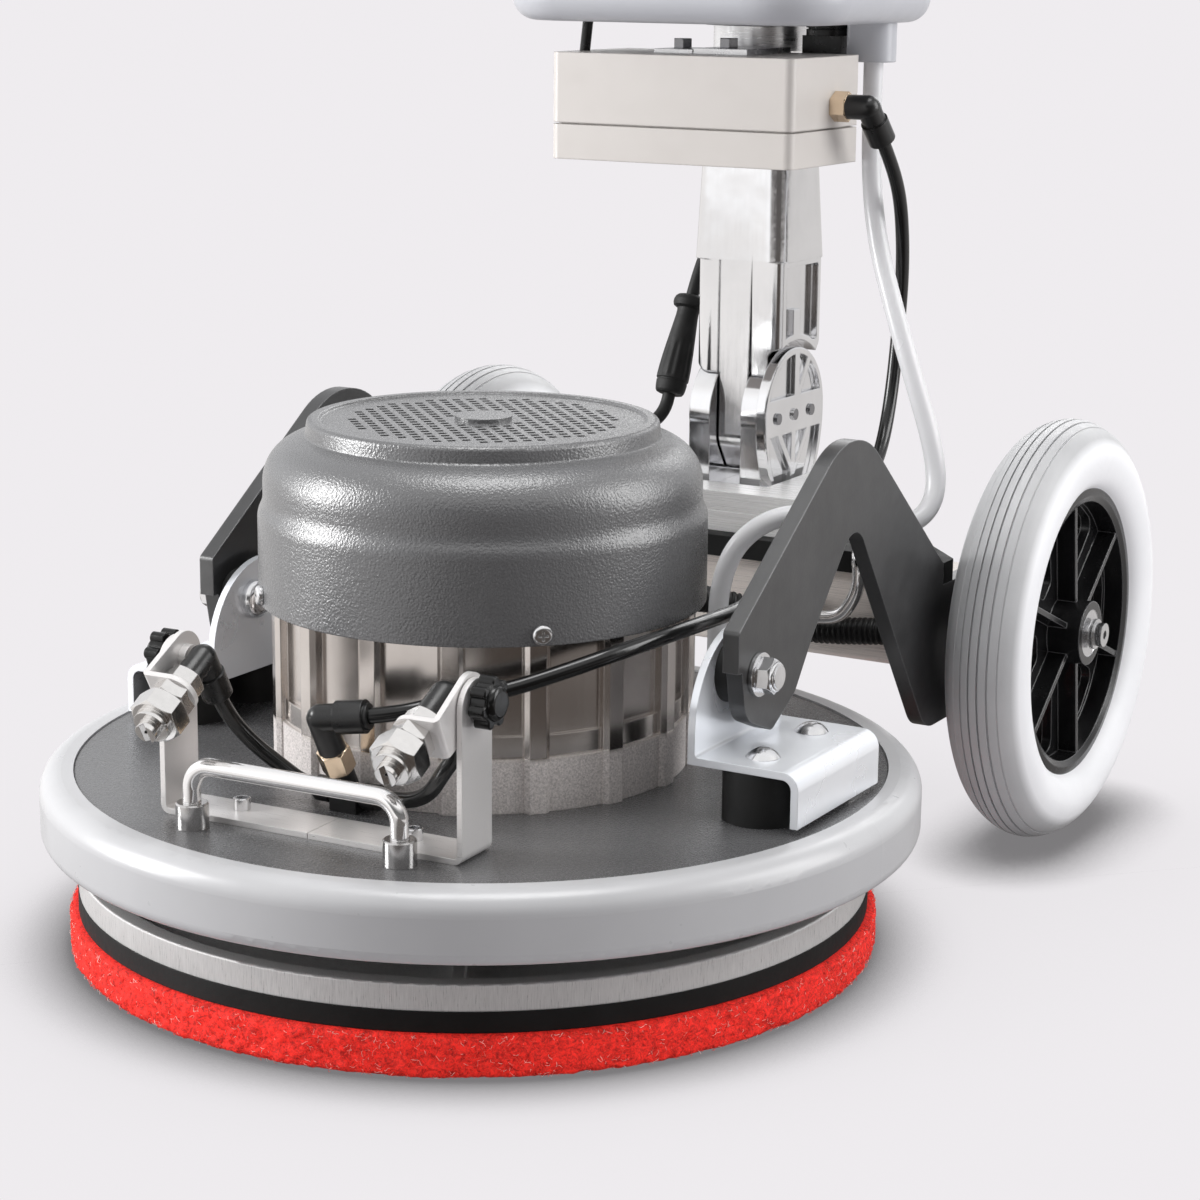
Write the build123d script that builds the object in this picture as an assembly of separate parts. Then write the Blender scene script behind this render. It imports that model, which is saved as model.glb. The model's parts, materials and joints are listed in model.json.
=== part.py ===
from build123d import *
import math
import os

# ---------------------------------------------------------------- driving dimensions (mm)
# floor line at z = 0, motor axis on Z, front of the machine towards -Y
pad_radius = 216.0
pad_thickness = 22.0
orbit = (-3.6, -2.3)            # offset of the pad axis from the motor axis
holder_radius = 211.0
holder_top = 32.5
drive_radius = 210.5
drive_top = 46.0
bearing_boss_top = 56.0

deck_radius = 215.7
deck_top = 96.7
deck_plate_thickness = 10.0
skirt_bottom = 62.0
skirt_wall = 6.7
bumper_radius = 233.5

frame_radius = 105.0
rib_radius = 112.0
rib_width = 13.0
rib_count = 16
rib_angle = -43.7               # angle of the first rib from +X, degrees
band_top = 124.0
ledge_top = 136.0
frame_top = 226.0
stator_radius = 98.0
rotor_radius = 58.0
air_gap = 0.5
shaft_radius = 12.0
running_gap = 0.03

cover_radius = 117.7
cover_bottom = 184.3
cover_waist_radius = 114.8
cover_rim_radius = 91.8
cover_top = 278.7
cover_wall = 2.5
vent_field_radius = 70.0
vent_pitch = 7.4
vent_hole = 4.3
vent_boss_radius = 15.0

front_set_angle = 2.3           # the front fittings stand turned by this angle about Z
handle_half = 59.3
handle_y = -181.0
handle_rod = 4.5
handle_rise = 36.5
handle_boss_radius = 8.2
handle_boss_height = 12.8
strip_half = 86.5
strip_y0 = -169.5
strip_y1 = -141.7
strip_thickness = 3.0
strip_seam_x = 0.0
bolt_y = -155.0
bolt_z = 174.0
arch_z = 171.0
stud_radius = 4.0
tab_half = 11.2

bracket_in = 146.0
bracket_out = 207.0
bracket_sheet = 4.0
bracket_plate_top = 128.0
bracket_y0 = -42.5
bracket_y1 = 51.5
buffer_x = 178.0
buffer_y = (-23.0, 32.0)
buffer_radius = 20.0
pivot_y = -7.0
pivot_z = 165.0
pivot_radius = 6.0

plate_in = 157.0
plate_out = 166.0
axle_y = 321.0
axle_z = 125.0
wheel_radius = 125.0
wheel_x = 198.0
wheel_half = 24.4
rim_radius = 85.5
rim_half = 16.0

knuckle_y = 305.0
knuckle_z = 241.0
cheek_disc_radius = 40.0
tube_y = 313.5
tube_radius = 24.0
sleeve_radius = 29.0
tube_top = 1085.0

box_half = 78.0
box_y0 = 196.0
box_y1 = 285.0
box_z0 = 397.0
box_z1 = 458.0
box_seam = 417.5

tank_half = 105.5
tank_y0 = 166.0
tank_y1 = 344.0
tank_z0 = 476.0
tank_z1 = 800.0
tank_wall = 4.0

feed_radius = 4.0
hose_radius = 5.8
cable_radius = 4.0
conduit_radius = 8.0

nodes = {}


# ---------------------------------------------------------------- helpers
def cyl(r, z0, z1, x=0.0, y=0.0):
    return Pos(x, y, (z0 + z1) / 2) * Cylinder(r, z1 - z0)


def ring(ro, ri, z0, z1, x=0.0, y=0.0):
    return cyl(ro, z0, z1, x, y) - cyl(ri, z0 - 1, z1 + 1, x, y)


def cylx(r, x0, x1, y, z):
    return Pos((x0 + x1) / 2, y, z) * Rot(0, 90, 0) * Cylinder(r, x1 - x0)


def ringx(ro, ri, x0, x1, y, z):
    return cylx(ro, x0, x1, y, z) - cylx(ri, x0 - 1, x1 + 1, y, z)


def box(x0, x1, y0, y1, z0, z1):
    return Pos((x0 + x1) / 2, (y0 + y1) / 2, (z0 + z1) / 2) * Box(x1 - x0, y1 - y0, z1 - z0)


def rod(p, q, r):
    v = Vector(*q) - Vector(*p)
    place = Plane(origin=p, z_dir=v)
    return place.location * Cylinder(r, v.length, align=(Align.CENTER, Align.CENTER, Align.MIN))


def hexrod(p, q, across):
    v = Vector(*q) - Vector(*p)
    place = Plane(origin=p, z_dir=v)
    return place.location * extrude(RegularPolygon(across / 2, 6, major_radius=False), v.length)


def hexnut(p, q, across, ends=(True, True)):
    """Hexagon between two points with its corners turned down at the chosen ends."""
    v = Vector(*q) - Vector(*p)
    h = v.length
    ro, ri = across / math.sqrt(3) + 0.01, across / 2 * 0.985
    drop = (ro - ri) * 0.55
    outline = [(0, 0), (ri if ends[0] else ro, 0)]
    if ends[0]:
        outline.append((ro, drop))
    if ends[1]:
        outline += [(ro, h - drop), (ri, h), (0, h)]
    else:
        outline += [(ro, h), (0, h)]
    place = Plane(origin=p, z_dir=v)
    blank = extrude(RegularPolygon(across / 2, 6, major_radius=False), h)
    return place.location * (blank & spin(outline))


def point(p, d, s):
    return tuple(a + b * s for a, b in zip(p, d))


def flip(shape):
    return mirror(shape, about=Plane.YZ)


def both(shape):
    return Compound(children=[*shape.solids(), *flip(shape).solids()])


def group(*shapes):
    out = []
    for s in shapes:
        out.extend(s.solids())
    return Compound(children=out)


def smooth_edges(pts, radii=None, closed=False):
    """Straight runs joined by tangent arcs; radii gives each corner's radius, or None for the widest."""
    n = len(pts)
    vs = [Vector(*p) for p in pts]
    starts, ends, arcs = {}, {}, {}
    corner = range(n) if closed else range(1, n - 1)
    for i in corner:
        a, b, c = vs[i - 1], vs[i], vs[(i + 1) % n]
        d1, d2 = (b - a), (c - b)
        l1, l2 = d1.length, d2.length
        d1, d2 = d1 * (1 / l1), d2 * (1 / l2)
        turn = math.acos(max(-1.0, min(1.0, d1.dot(d2))))
        r = None if radii is None else radii[i]
        if turn < 1e-4 or r == 0:
            starts[i] = ends[i] = b
            continue
        t = 0.45 * min(l1, l2) if r is None else r * math.tan(turn / 2)
        r = t / math.tan(turn / 2)
        starts[i], ends[i] = b - d1 * t, b + d2 * t
        bis = (d2 - d1) * (1 / (d2 - d1).length)
        arcs[i] = b + bis * (r / math.cos(turn / 2) - r)
    edges = []
    order = list(range(n)) + ([0] if closed else [])
    for k in range(len(order) - 1):
        i, j = order[k], order[k + 1]
        p = ends.get(i, vs[i])
        q = starts.get(j, vs[j])
        if (q - p).length > 1e-6:
            edges.append(Edge.make_line(p, q))
        if j in arcs:
            edges.append(Edge.make_three_point_arc(starts[j], arcs[j], ends[j]))
    return edges


def sheet_x(outline, x0, x1):
    """Plate of a (y, z, corner radius) outline between two x values."""
    pts = [(0, y, z) for y, z, r in outline]
    face = Face(Wire(smooth_edges(pts, [r for y, z, r in outline], closed=True)))
    solid = extrude(face, x1 - x0, dir=(1, 0, 0))
    return Pos(x0, 0, 0) * solid


def plate_z(outline, z0, z1):
    """Plate of an (x, y, corner radius) outline between two z values."""
    pts = [(x, y, 0) for x, y, r in outline]
    face = Face(Wire(smooth_edges(pts, [r for x, y, r in outline], closed=True)))
    return Pos(0, 0, z0) * extrude(face, z1 - z0, dir=(0, 0, 1))


def cord(pts, r, name):
    """Round tube along straight runs and the widest tangent arcs; prints its radii, length and volumes."""
    wire = Wire(smooth_edges(pts))
    start = Vector(*pts[1]) - Vector(*pts[0])
    place = Plane(origin=pts[0], z_dir=start)
    tube = sweep(place.location * Circle(r), path=wire)
    radii = [round(e.radius, 1) for e in wire.edges() if e.geom_type == GeomType.CIRCLE]
    print(f"{name}: diameter {2 * r} length {wire.length:.1f} radii {radii}")
    print(f"{name}: volume {tube.volume:.0f} section x length {math.pi * r * r * wire.length:.0f}")
    return tube


def spin(profile):
    """Solid of revolution about Z of a closed (r, z) outline."""
    face = Plane.XZ * make_face(Polyline(*profile, close=True))
    return revolve(face, Axis.Z, 360)


def spin_round(outline):
    """Solid of revolution about Z of a closed (r, z, corner radius) outline with tangent arcs at its corners."""
    pts = [(r, 0, z) for r, z, c in outline]
    face = Face(Wire(smooth_edges(pts, [c for r, z, c in outline], closed=True)))
    return revolve(face, Axis.Z, 360)


def turn_front(shape):
    return Rot(0, 0, front_set_angle) * shape


# ---------------------------------------------------------------- pad, holder and drive plate
ox, oy = orbit
pad = cyl(pad_radius, 0, pad_thickness, ox, oy)
pad = fillet(pad.edges().group_by(Axis.Z)[-1], 4)
pad = fillet(pad.edges().group_by(Axis.Z)[0], 2)
nodes["scrub_pad"] = pad
nodes["pad_holder"] = cyl(holder_radius, pad_thickness, holder_top, ox, oy)

drive = cyl(drive_radius, holder_top, holder_top + 5, ox, oy) + ring(drive_radius, 202, holder_top, drive_top, ox, oy)
drive += cyl(40, holder_top, bearing_boss_top, ox, oy)
for k in range(6):
    rib = Pos(ox, oy, 0) * Rot(0, 0, 60 * k) * box(38, 204, -3, 3, holder_top, drive_top - 2)
    drive += rib
drive -= cyl(26, 38, 70, ox, oy)
drive = fillet(drive.edges().filter_by(lambda e: e.geom_type == GeomType.CIRCLE and abs(e.radius - drive_radius) < 0.01 and abs(e.center().Z - drive_top) < 0.01), 1.0)
nodes["drive_plate"] = drive
nodes["drive_bearing"] = ring(26, 12.5 + running_gap, 38, 56, ox, oy)

# ---------------------------------------------------------------- motor rotor with eccentric
nodes["motor_shaft"] = cyl(shaft_radius, 66, 262) + cyl(9, 262, 265)
nodes["rotor_core"] = ring(rotor_radius, shaft_radius, 130, 205)
fan = cyl(22, 228, 256) + cyl(85, 228, 231)
for k in range(9):
    fan += Rot(0, 0, 40 * k) * Pos(0, 0, 0) * box(20, 84, -1.5, 1.5, 230.5, 254)
fan -= cyl(shaft_radius, 220, 270)
nodes["cooling_fan"] = fan

hub = cyl(40, 62, 84)
far = math.degrees(math.atan2(-oy, -ox))
weight = (cyl(118, 66, 80) - cyl(30, 60, 90)) & (Rot(0, 0, far) * box(6, 130, -110, 110, 60, 90))
hub += weight
hub += cyl(12.5, 39.5, 62.5, ox, oy)
hub -= cyl(shaft_radius, 66, 90)
nodes["eccentric_hub"] = hub

# ---------------------------------------------------------------- deck, bumper
deck = cyl(deck_radius, deck_top - deck_plate_thickness, deck_top)
deck += ring(deck_radius, deck_radius - skirt_wall, skirt_bottom, deck_top)
deck = fillet(deck.edges().group_by(Axis.Z)[-1], 1.5)
deck -= cyl(15, 80, 100)

bump = spin_round([(deck_radius, 62.0, 0), (bumper_radius, 62.0, 6.5), (bumper_radius, 97.3, 11.5), (deck_radius, 97.3, 0)])
nodes["bumper_ring"] = bump

# ---------------------------------------------------------------- motor frame, stator, cover
# sixteen flat panels between sixteen bevelled ribs, standing on a thicker round foot
panels = Rot(0, 0, rib_angle) * extrude(RegularPolygon(frame_radius / math.cos(math.pi / rib_count), rib_count), frame_top - 4 - ledge_top)
frame = cyl(109, deck_top, band_top) + cyl(107.6, band_top, ledge_top) + Pos(0, 0, ledge_top) * panels
rib_edge = rib_width / 2
rib_face = make_face(
    Polyline((94, -rib_edge), (rib_radius - 2.4, -rib_edge), (rib_radius, -rib_edge + 2.2), (rib_radius, rib_edge - 2.2), (rib_radius - 2.4, rib_edge), (94, rib_edge), close=True)
)
rib = Pos(0, 0, deck_top) * extrude(rib_face, 206 - deck_top)
for k in range(rib_count):
    frame += Rot(0, 0, rib_angle + 360 / rib_count * k) * rib
for k in range(4):
    ear = box(100, cover_radius, -8, 8, 185.5, 204) & cyl(cover_radius - cover_wall, 180, 210)
    frame += Rot(0, 0, rib_angle + 90 * k) * ear
frame += cyl(60, frame_top - 6, frame_top)
frame -= cyl(stator_radius, 114, 212)
frame -= cyl(14, 90, 230)
frame -= cyl(26, 98, 114.5)
frame -= cyl(24, 211, 226.5)
for k in range(4):
    pos = Rot(0, 0, rib_angle + 90 * k) * Pos(110, 0, 190) * Rot(0, 90, 0)
    frame -= pos * Cylinder(2.5, 20)

stator = ring(stator_radius, rotor_radius + air_gap, 132, 203)
for k in range(24):
    stator -= Rot(0, 0, 15 * k) * box(55, 82, -3, 3, 130, 205)
coil = ring(88, 66, 203, 211) + ring(88, 66, 124, 132)
nodes["stator"] = group(stator, coil)
nodes["shaft_bearings"] = group(
    ring(26, shaft_radius + running_gap, 98, 112), ring(24, shaft_radius + running_gap, 214, 226)
)

rim = cover_rim_radius
waist = cover_waist_radius
outer = [(cover_radius, cover_bottom, 0), (cover_radius, 230.5, 13), (waist, 236.5, 13), (waist, 263.2, 23), (rim + 0.9, 269.95, 1.2)]
outer += [(rim - 0.2, cover_top, 2.8), (rim - 6.4, cover_top, 0.8), (rim - 7.4, 277.2, 0.8), (0, 277.2, 0)]
inner = [(0, 274.4, 0), (rim - 3.4, 274.4, 1.5), (rim - 2.8, 268.2, 1.2), (waist - cover_wall, 261.1, 20.5), (waist - cover_wall, 237.0, 12)]
inner += [(cover_radius - cover_wall, 231.0, 12), (cover_radius - cover_wall, cover_bottom, 0)]
cover = spin_round(outer + inner)
cover += cyl(vent_boss_radius, 275, 279.6)
places = []
steps = int(vent_field_radius / vent_pitch) + 2
for i in range(-steps * 2, steps * 2 + 1):
    for j in range(-steps * 2, steps * 2 + 1):
        x = (i + j) * vent_pitch / math.sqrt(2)
        y = (i - j) * vent_pitch / math.sqrt(2)
        if vent_boss_radius + 4 < math.hypot(x, y) < vent_field_radius:
            places.append(Pos(x, y, 271) * Rot(0, 0, 45))
holes = extrude(Sketch() + [p * Rectangle(vent_hole, vent_hole) for p in places], 10)
cover -= holes
for k in range(4):
    pos = Rot(0, 0, rib_angle + 90 * k) * Pos(118, 0, 190) * Rot(0, 90, 0)
    cover -= pos * Cylinder(2.5, 10)
nodes["motor_cover"] = cover

# ---------------------------------------------------------------- front fittings
post = 12.0
top = deck_top + handle_rise - handle_rod
path = smooth_edges(
    [(-handle_half, handle_y, deck_top + 9), (-handle_half, handle_y, top), (handle_half, handle_y, top), (handle_half, handle_y, deck_top + 9)],
    [0, post, post, 0],
)
bail = sweep(Pos(-handle_half, handle_y, deck_top + 9) * Circle(handle_rod), path=Wire(path))
boss = cyl(handle_boss_radius, deck_top, deck_top + handle_boss_height, handle_half, handle_y)
boss = chamfer(boss.edges().group_by(Axis.Z)[-1], 0.7)
bail = bail + boss + flip(boss)
nodes["lift_handle"] = turn_front(bail)

half = strip_half
side = strip_thickness
profile = [
    (-half, arch_z + 14), (-half, deck_top), (half, deck_top), (half, arch_z + 14),
    (half - side, arch_z + 14), (half - side, deck_top + side), (-half + side, deck_top + side), (-half + side, arch_z + 14),
]
bend = [0, 5, 5, 0, 0, 2, 2, 0]
strip_face = Face(Wire(smooth_edges([(x, strip_y1, z) for x, z in profile], bend, closed=True)))
strip = extrude(strip_face, strip_y1 - strip_y0, dir=(0, -1, 0))
mid = (strip_y0 + strip_y1) / 2
arch = box(-half - 1, half + 1, strip_y0 - 1, strip_y1 + 1, arch_z, arch_z + 20)
arch -= cylx((strip_y1 - strip_y0) / 2, -half - 2, half + 2, mid, arch_z)
strip -= arch
# the strip is two bent pieces that meet at a narrow seam
strip -= box(strip_seam_x - 0.2, strip_seam_x + 0.2, strip_y0 - 1, strip_y1 + 1, deck_top - 1, deck_top + 10)
for s in (-1, 1):
    strip -= cylx(stud_radius + 0.06, s * (half - 1.5) - 4, s * (half - 1.5) + 4, bolt_y, bolt_z)
    strip -= cyl(3.0, 90, 110, s * 49.8, -152.6)
nodes["nozzle_bracket"] = turn_front(strip)


def nozzle_set(sx, tilt, reach, offset, x_axis, tip_u, corner_u):
    """Arm, nozzle and elbow on one upright. sx is the side, tilt the fall of the nozzle axis in degrees,
    reach the distance of the tab from the bolt, offset the axis above the bolt."""
    t = math.radians(tilt)
    d = (0.0, -math.cos(t), -math.sin(t))
    n = (0.0, -math.sin(t), math.cos(t))
    o = (0.0, bolt_y, bolt_z)
    base = (sx * x_axis, o[1] + n[1] * offset, o[2] + n[2] * offset)
    # strap in the plane of the upright, in (u, n) coordinates
    place = Plane(origin=(sx * 80.0, bolt_y, bolt_z), x_dir=d, z_dir=(sx * 1.0, 0, 0))
    flipped = 1 if place.y_dir.Z > 0 else -1
    low, high = offset - tab_half, offset + tab_half
    blank = make_face(Polyline((0, -13), (reach, low * flipped if flipped > 0 else -high), (reach, high * flipped if flipped > 0 else -low), (0, 13), close=True))
    blank = blank + Circle(13)
    strap = place.location * extrude(blank, 3.0)
    # tab across the end of the strap, square to the nozzle axis
    end = point(o, d, reach - 3.0)
    tab_plane = Plane(origin=end, x_dir=(-sx * 1.0, 0, 0), z_dir=d)
    up = 1 if tab_plane.y_dir.Z > 0 else -1
    tab = make_face(
        Polyline((-83, low * up), (-x_axis, low * up), (-x_axis, high * up), (-83, high * up), close=True)
    ) + Pos(-x_axis, offset * up) * Circle(tab_half)
    tab = tab_plane.location * extrude(tab, 3.0)
    arm = strap + tab
    # rounded fold where the tab leaves the strap
    fold = [
        e
        for e in arm.edges()
        if e.geom_type == GeomType.LINE and abs(abs(e.center().X) - 83.0) < 0.01 and abs(e.length - 2 * tab_half) < 0.4
        and sum((m - b) * k for m, b, k in zip((e.center().X, e.center().Y, e.center().Z), o, d)) > reach - 0.2
    ]
    if fold:
        arm = fillet(fold, 2.8)
    arm -= cylx(stud_radius + 0.06, sx * 81.5 - 6, sx * 81.5 + 6, bolt_y, bolt_z)
    arm += ringx(6.5, stud_radius + 0.06, min(sx * 76, sx * 80), max(sx * 76, sx * 80), bolt_y, bolt_z)
    arm -= rod(point(base, d, reach - 8), point(base, d, reach + 8), 6.6)
    # nozzle body along its axis: hex on the tab, nut, larger hex, round flange and slotted tip below
    a = lambda u: point(base, d, u)
    neck = reach - 12.0
    body = rod(a(neck), a(tip_u - 6), 6.5)
    body += hexnut(a(neck), a(reach - 3.0), 17, (True, False))
    body += hexnut(a(reach), a(reach + 7.0), 19.5, (False, True))
    body += rod(a(reach + 7.0), a(reach + 8.2), 8.6)
    body += hexnut(a(reach + 8.2), a(tip_u - 8.5), 24)
    flange = rod(a(tip_u - 8.6), a(tip_u - 5), 9.3)
    body += flange
    body += rod(a(tip_u - 5.2), a(tip_u), 5.6)
    slot = Plane(origin=a(tip_u + 0.6), x_dir=(1, 0, 0), z_dir=d)
    body -= slot.location * Rot(0, 45, 0) * Box(3.6, 40, 3.6)
    body -= rod(a(tip_u - 9), a(tip_u + 2), 1.0)
    # push-in elbow: one leg on the axis down to the hex, the other square to it, down and back
    c = a(corner_u)
    leg = tuple(-v for v in n)
    elbow = rod(c, a(neck), 7.0)
    elbow += rod(c, point(c, leg, 22), 7.0) + rod(point(c, leg, 10), point(c, leg, 24), 7.8)
    elbow += Pos(*c) * Sphere(7.0)
    elbow -= rod(point(c, leg, 18), point(c, leg, 26), feed_radius)
    return turn_front(arm), turn_front(body), turn_front(elbow), point(c, leg, 18), leg


right = nozzle_set(1, 27.0, 29.6, -0.5, 67.5, 58.0, -0.6)
left = nozzle_set(-1, 29.5, 29.0, 3.0, 67.5, 57.0, 2.0)
nodes["nozzle_arm_right"], nodes["spray_nozzle_right"], nodes["nozzle_elbow_right"] = right[:3]
nodes["nozzle_arm_left"], nodes["spray_nozzle_left"], nodes["nozzle_elbow_left"] = left[:3]


def knob(sx):
    # seven-lobed head outside the upright, stud through upright and arm
    face = Circle(10.4)
    for k in range(7):
        face += Rot(0, 0, 360 / 7 * k) * Pos(9.9, 0) * Circle(3.0)
    head = extrude(face, 8.2)
    head = chamfer(head.edges().group_by(Axis.Z)[-1], 0.6)
    dome = Pos(0, 0, 8.0) * Cylinder(8.6, 2.8, align=(Align.CENTER, Align.CENTER, Align.MIN))
    head += fillet(dome.edges().group_by(Axis.Z)[-1], 2.6)
    head += Pos(0, 0, -1.6) * Cylinder(8.0, 1.6, align=(Align.CENTER, Align.CENTER, Align.MIN))
    head += Pos(0, 0, -12.4) * Cylinder(stud_radius, 12.9, align=(Align.CENTER, Align.CENTER, Align.MIN))
    place = Plane(origin=(sx * (strip_half + 1.9), bolt_y, bolt_z), z_dir=(sx, 0, 0))
    return turn_front(place.location * head)


nodes["clamp_knob_left"] = knob(-1)
nodes["clamp_knob_right"] = knob(1)

# ---------------------------------------------------------------- tee and feed elbow behind the strip
tee_y = -120.0
tee_x = -3.2
tee_z = 105.5
tee_lean = 28.0                 # the branch leans forward by this angle
feed_swing = 15.0               # the feed leg swings back by this angle about the branch
lean_s, lean_c = math.sin(math.radians(tee_lean)), math.cos(math.radians(tee_lean))
swing_s, swing_c = math.sin(math.radians(feed_swing)), math.cos(math.radians(feed_swing))
branch = (0.0, -lean_s, lean_c)
feed_dir = (swing_c, swing_s * lean_c, swing_s * lean_s)
tee_mid = (tee_x, tee_y, tee_z)
tee = rod((tee_x - 18, tee_y, tee_z), (tee_x + 18, tee_y, tee_z), 5.8)
tee += rod((tee_x - 18, tee_y, tee_z), (tee_x - 10, tee_y, tee_z), 6.6) + rod((tee_x + 10, tee_y, tee_z), (tee_x + 18, tee_y, tee_z), 6.6)
tee += box(tee_x - 8, tee_x + 8, tee_y - 6, tee_y + 6, deck_top, tee_z)
tee += rod(tee_mid, point(tee_mid, branch, 16.5), 6.5)
tee -= rod((tee_x - 19, tee_y, tee_z), (tee_x - 11, tee_y, tee_z), feed_radius)
tee -= rod((tee_x + 11, tee_y, tee_z), (tee_x + 19, tee_y, tee_z), feed_radius)
nut = hexnut(point(tee_mid, branch, 16.5), point(tee_mid, branch, 29.5), 15)
feed_corner = point(tee_mid, branch, 49.9)
turn_up = rod(point(tee_mid, branch, 29.5), feed_corner, 7.0) + Pos(*feed_corner) * Sphere(7.0)
turn_up += rod(feed_corner, point(feed_corner, feed_dir, 22), 7.0)
turn_up += rod(point(feed_corner, feed_dir, 9), point(feed_corner, feed_dir, 24), 8.4)
turn_up += rod(point(feed_corner, feed_dir, 24), point(feed_corner, feed_dir, 26), 6.6)
turn_up -= rod(point(feed_corner, feed_dir, 15), point(feed_corner, feed_dir, 28), feed_radius)
nodes["spray_manifold"] = group(tee, nut, turn_up)

# ---------------------------------------------------------------- pivot brackets with buffers and bolts
plate = box(bracket_in, bracket_out, bracket_y0, bracket_y1, bracket_plate_top - bracket_sheet, bracket_plate_top)
flange = box(bracket_out - bracket_sheet, bracket_out, bracket_y0, bracket_y1, 100, bracket_plate_top)
bent = plate + flange
bent = fillet(bent.edges().filter_by(Axis.Y).group_by(Axis.X)[-1].group_by(Axis.Z)[-1], 9)
inner_edge = [e for e in bent.edges().filter_by(Axis.Y) if abs(e.center().X - (bracket_out - bracket_sheet)) < 0.01 and abs(e.center().Z - (bracket_plate_top - bracket_sheet)) < 0.01]
bent = fillet(inner_edge, 5)
lobe_mid = (bracket_y0 + bracket_y1) / 2
lobe_r = (bracket_y1 - bracket_y0) / 2
lobe = cylx(lobe_r, bracket_in, bracket_in + bracket_sheet, lobe_mid, 140)
lobe += box(bracket_in, bracket_in + bracket_sheet, bracket_y0, bracket_y1, bracket_plate_top - bracket_sheet, 140)
lobe -= box(bracket_in - 1, bracket_in + bracket_sheet + 1, bracket_y0 - 1, bracket_y1 + 1, 80, bracket_plate_top - bracket_sheet)
bracket = bent + lobe
for e in [e for e in bracket.edges().filter_by(Axis.Y) if abs(e.center().X - (bracket_in + bracket_sheet)) < 0.01 and abs(e.center().Z - bracket_plate_top) < 0.01]:
    bracket = fillet([e], 2.0)
    break
bracket -= cylx(pivot_radius, bracket_in - 2, bracket_in + 8, pivot_y, pivot_z)
for y in buffer_y:
    bracket -= cyl(4.0, 120, 132, buffer_x, y)
nodes["pivot_brackets"] = both(bracket)

buffers = None
for y in buffer_y:
    b = cyl(buffer_radius, deck_top, bracket_plate_top - bracket_sheet, buffer_x, y) - cyl(4.0, 90, 130, buffer_x, y)
    buffers = b if buffers is None else buffers + b
nodes["rubber_buffers"] = both(buffers)

spacer = ringx(16, pivot_radius, bracket_in + bracket_sheet, plate_in - 0.2, pivot_y, pivot_z)
nodes["pivot_spacers"] = both(spacer)

bolt = cylx(pivot_radius, bracket_in - 3, plate_out + 12.5, pivot_y, pivot_z)
dome = cylx(11, bracket_in - 7, bracket_in, pivot_y, pivot_z)
dome = fillet(dome.edges().group_by(Axis.X)[0], 5)
washer = ringx(11.2, 5.5, plate_out + 0.2, plate_out + 2.4, pivot_y, pivot_z)
lock = hexnut((plate_out + 2.4, pivot_y, pivot_z), (plate_out + 10.0, pivot_y, pivot_z), 16.4)
collar_ring = cylx(7.7, plate_out + 9.8, plate_out + 11.8, pivot_y, pivot_z)
lock += fillet(collar_ring.edges().group_by(Axis.X)[-1], 1.2)
nodes["pivot_bolts"] = both(bolt + dome + washer + lock)

# ---------------------------------------------------------------- screws on the deck
screws = []
for k in range(4):
    pan = Cylinder(5.2, 3.2, align=(Align.CENTER, Align.CENTER, Align.MIN))
    pan = fillet(pan.edges().group_by(Axis.Z)[-1], 2.0)
    pan += Pos(0, 0, -14) * Cylinder(2.5, 14.5, align=(Align.CENTER, Align.CENTER, Align.MIN))
    pan -= Pos(0, 0, 2.6) * (Box(5.2, 1.1, 2.4) + Box(1.1, 5.2, 2.4))
    screws.append(Rot(0, 0, rib_angle + 90 * k) * Pos(cover_radius, 0, 190) * Rot(0, 90, 0) * pan)
for s in (-1, 1):
    for y in buffer_y:
        # low domed head: a slice of a ball on a thin round edge
        ball = 10.2
        head = (Pos(0, 0, 5.0 - ball) * Sphere(ball)) & (Pos(0, 0, 2.5) * Box(30, 30, 5.0))
        head = head & Cylinder(8.8, 5.0, align=(Align.CENTER, Align.CENTER, Align.MIN))
        head += Pos(0, 0, -38) * Cylinder(4.0, 38.5, align=(Align.CENTER, Align.CENTER, Align.MIN))
        screws.append(Pos(s * buffer_x, y, bracket_plate_top) * head)
    cap = Cylinder(4.4, 6.0, align=(Align.CENTER, Align.CENTER, Align.MIN))
    cap = chamfer(cap.edges().group_by(Axis.Z)[-1], 0.5)
    cap -= Pos(0, 0, 3.0) * extrude(RegularPolygon(2.5, 6, major_radius=False), 4)
    cap += Pos(0, 0, -11) * Cylinder(3.0, 11.5, align=(Align.CENTER, Align.CENTER, Align.MIN))
    screws.append(turn_front(Pos(s * 49.8, -152.6, deck_top + strip_thickness) * cap))
nodes["deck_screws"] = group(*screws)
for s in (-1, 1):
    for y in buffer_y:
        deck -= cyl(4.0, 80, 100, s * buffer_x, y)
    deck -= turn_front(cyl(3.0, 80, 100, s * 49.8, -152.6))

# ---------------------------------------------------------------- hose tail and cable glands behind the motor
tail_x, tail_y = 46.0, 180.0
tail = hexrod((tail_x, tail_y, deck_top), (tail_x, tail_y, deck_top + 9), 19)
tail += rod((tail_x, tail_y, deck_top + 9), (tail_x, tail_y, deck_top + 20), 7.4)
tail -= rod((tail_x, tail_y, deck_top + 11), (tail_x, tail_y, deck_top + 21), hose_radius)
tail += rod((tail_x, tail_y, deck_top + 8), (tail_x, tail_y, deck_top + 11), 6.0)


def gland(angle, z, r_in, across):
    a = math.radians(angle)
    u = (math.cos(a), math.sin(a), 0.0)
    base = lambda s: (u[0] * s, u[1] * s, z)
    g = hexrod(base(111), base(120), across) + rod(base(103.5), base(112), across / 2 - 2) + rod(base(120), base(131), across / 2 - 1)
    g -= rod(base(122), base(133), r_in)
    return g, base(122), u, rod(base(100), base(111), across / 2 - 2) + rod(base(106), base(111), across / 2 + 3)


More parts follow.
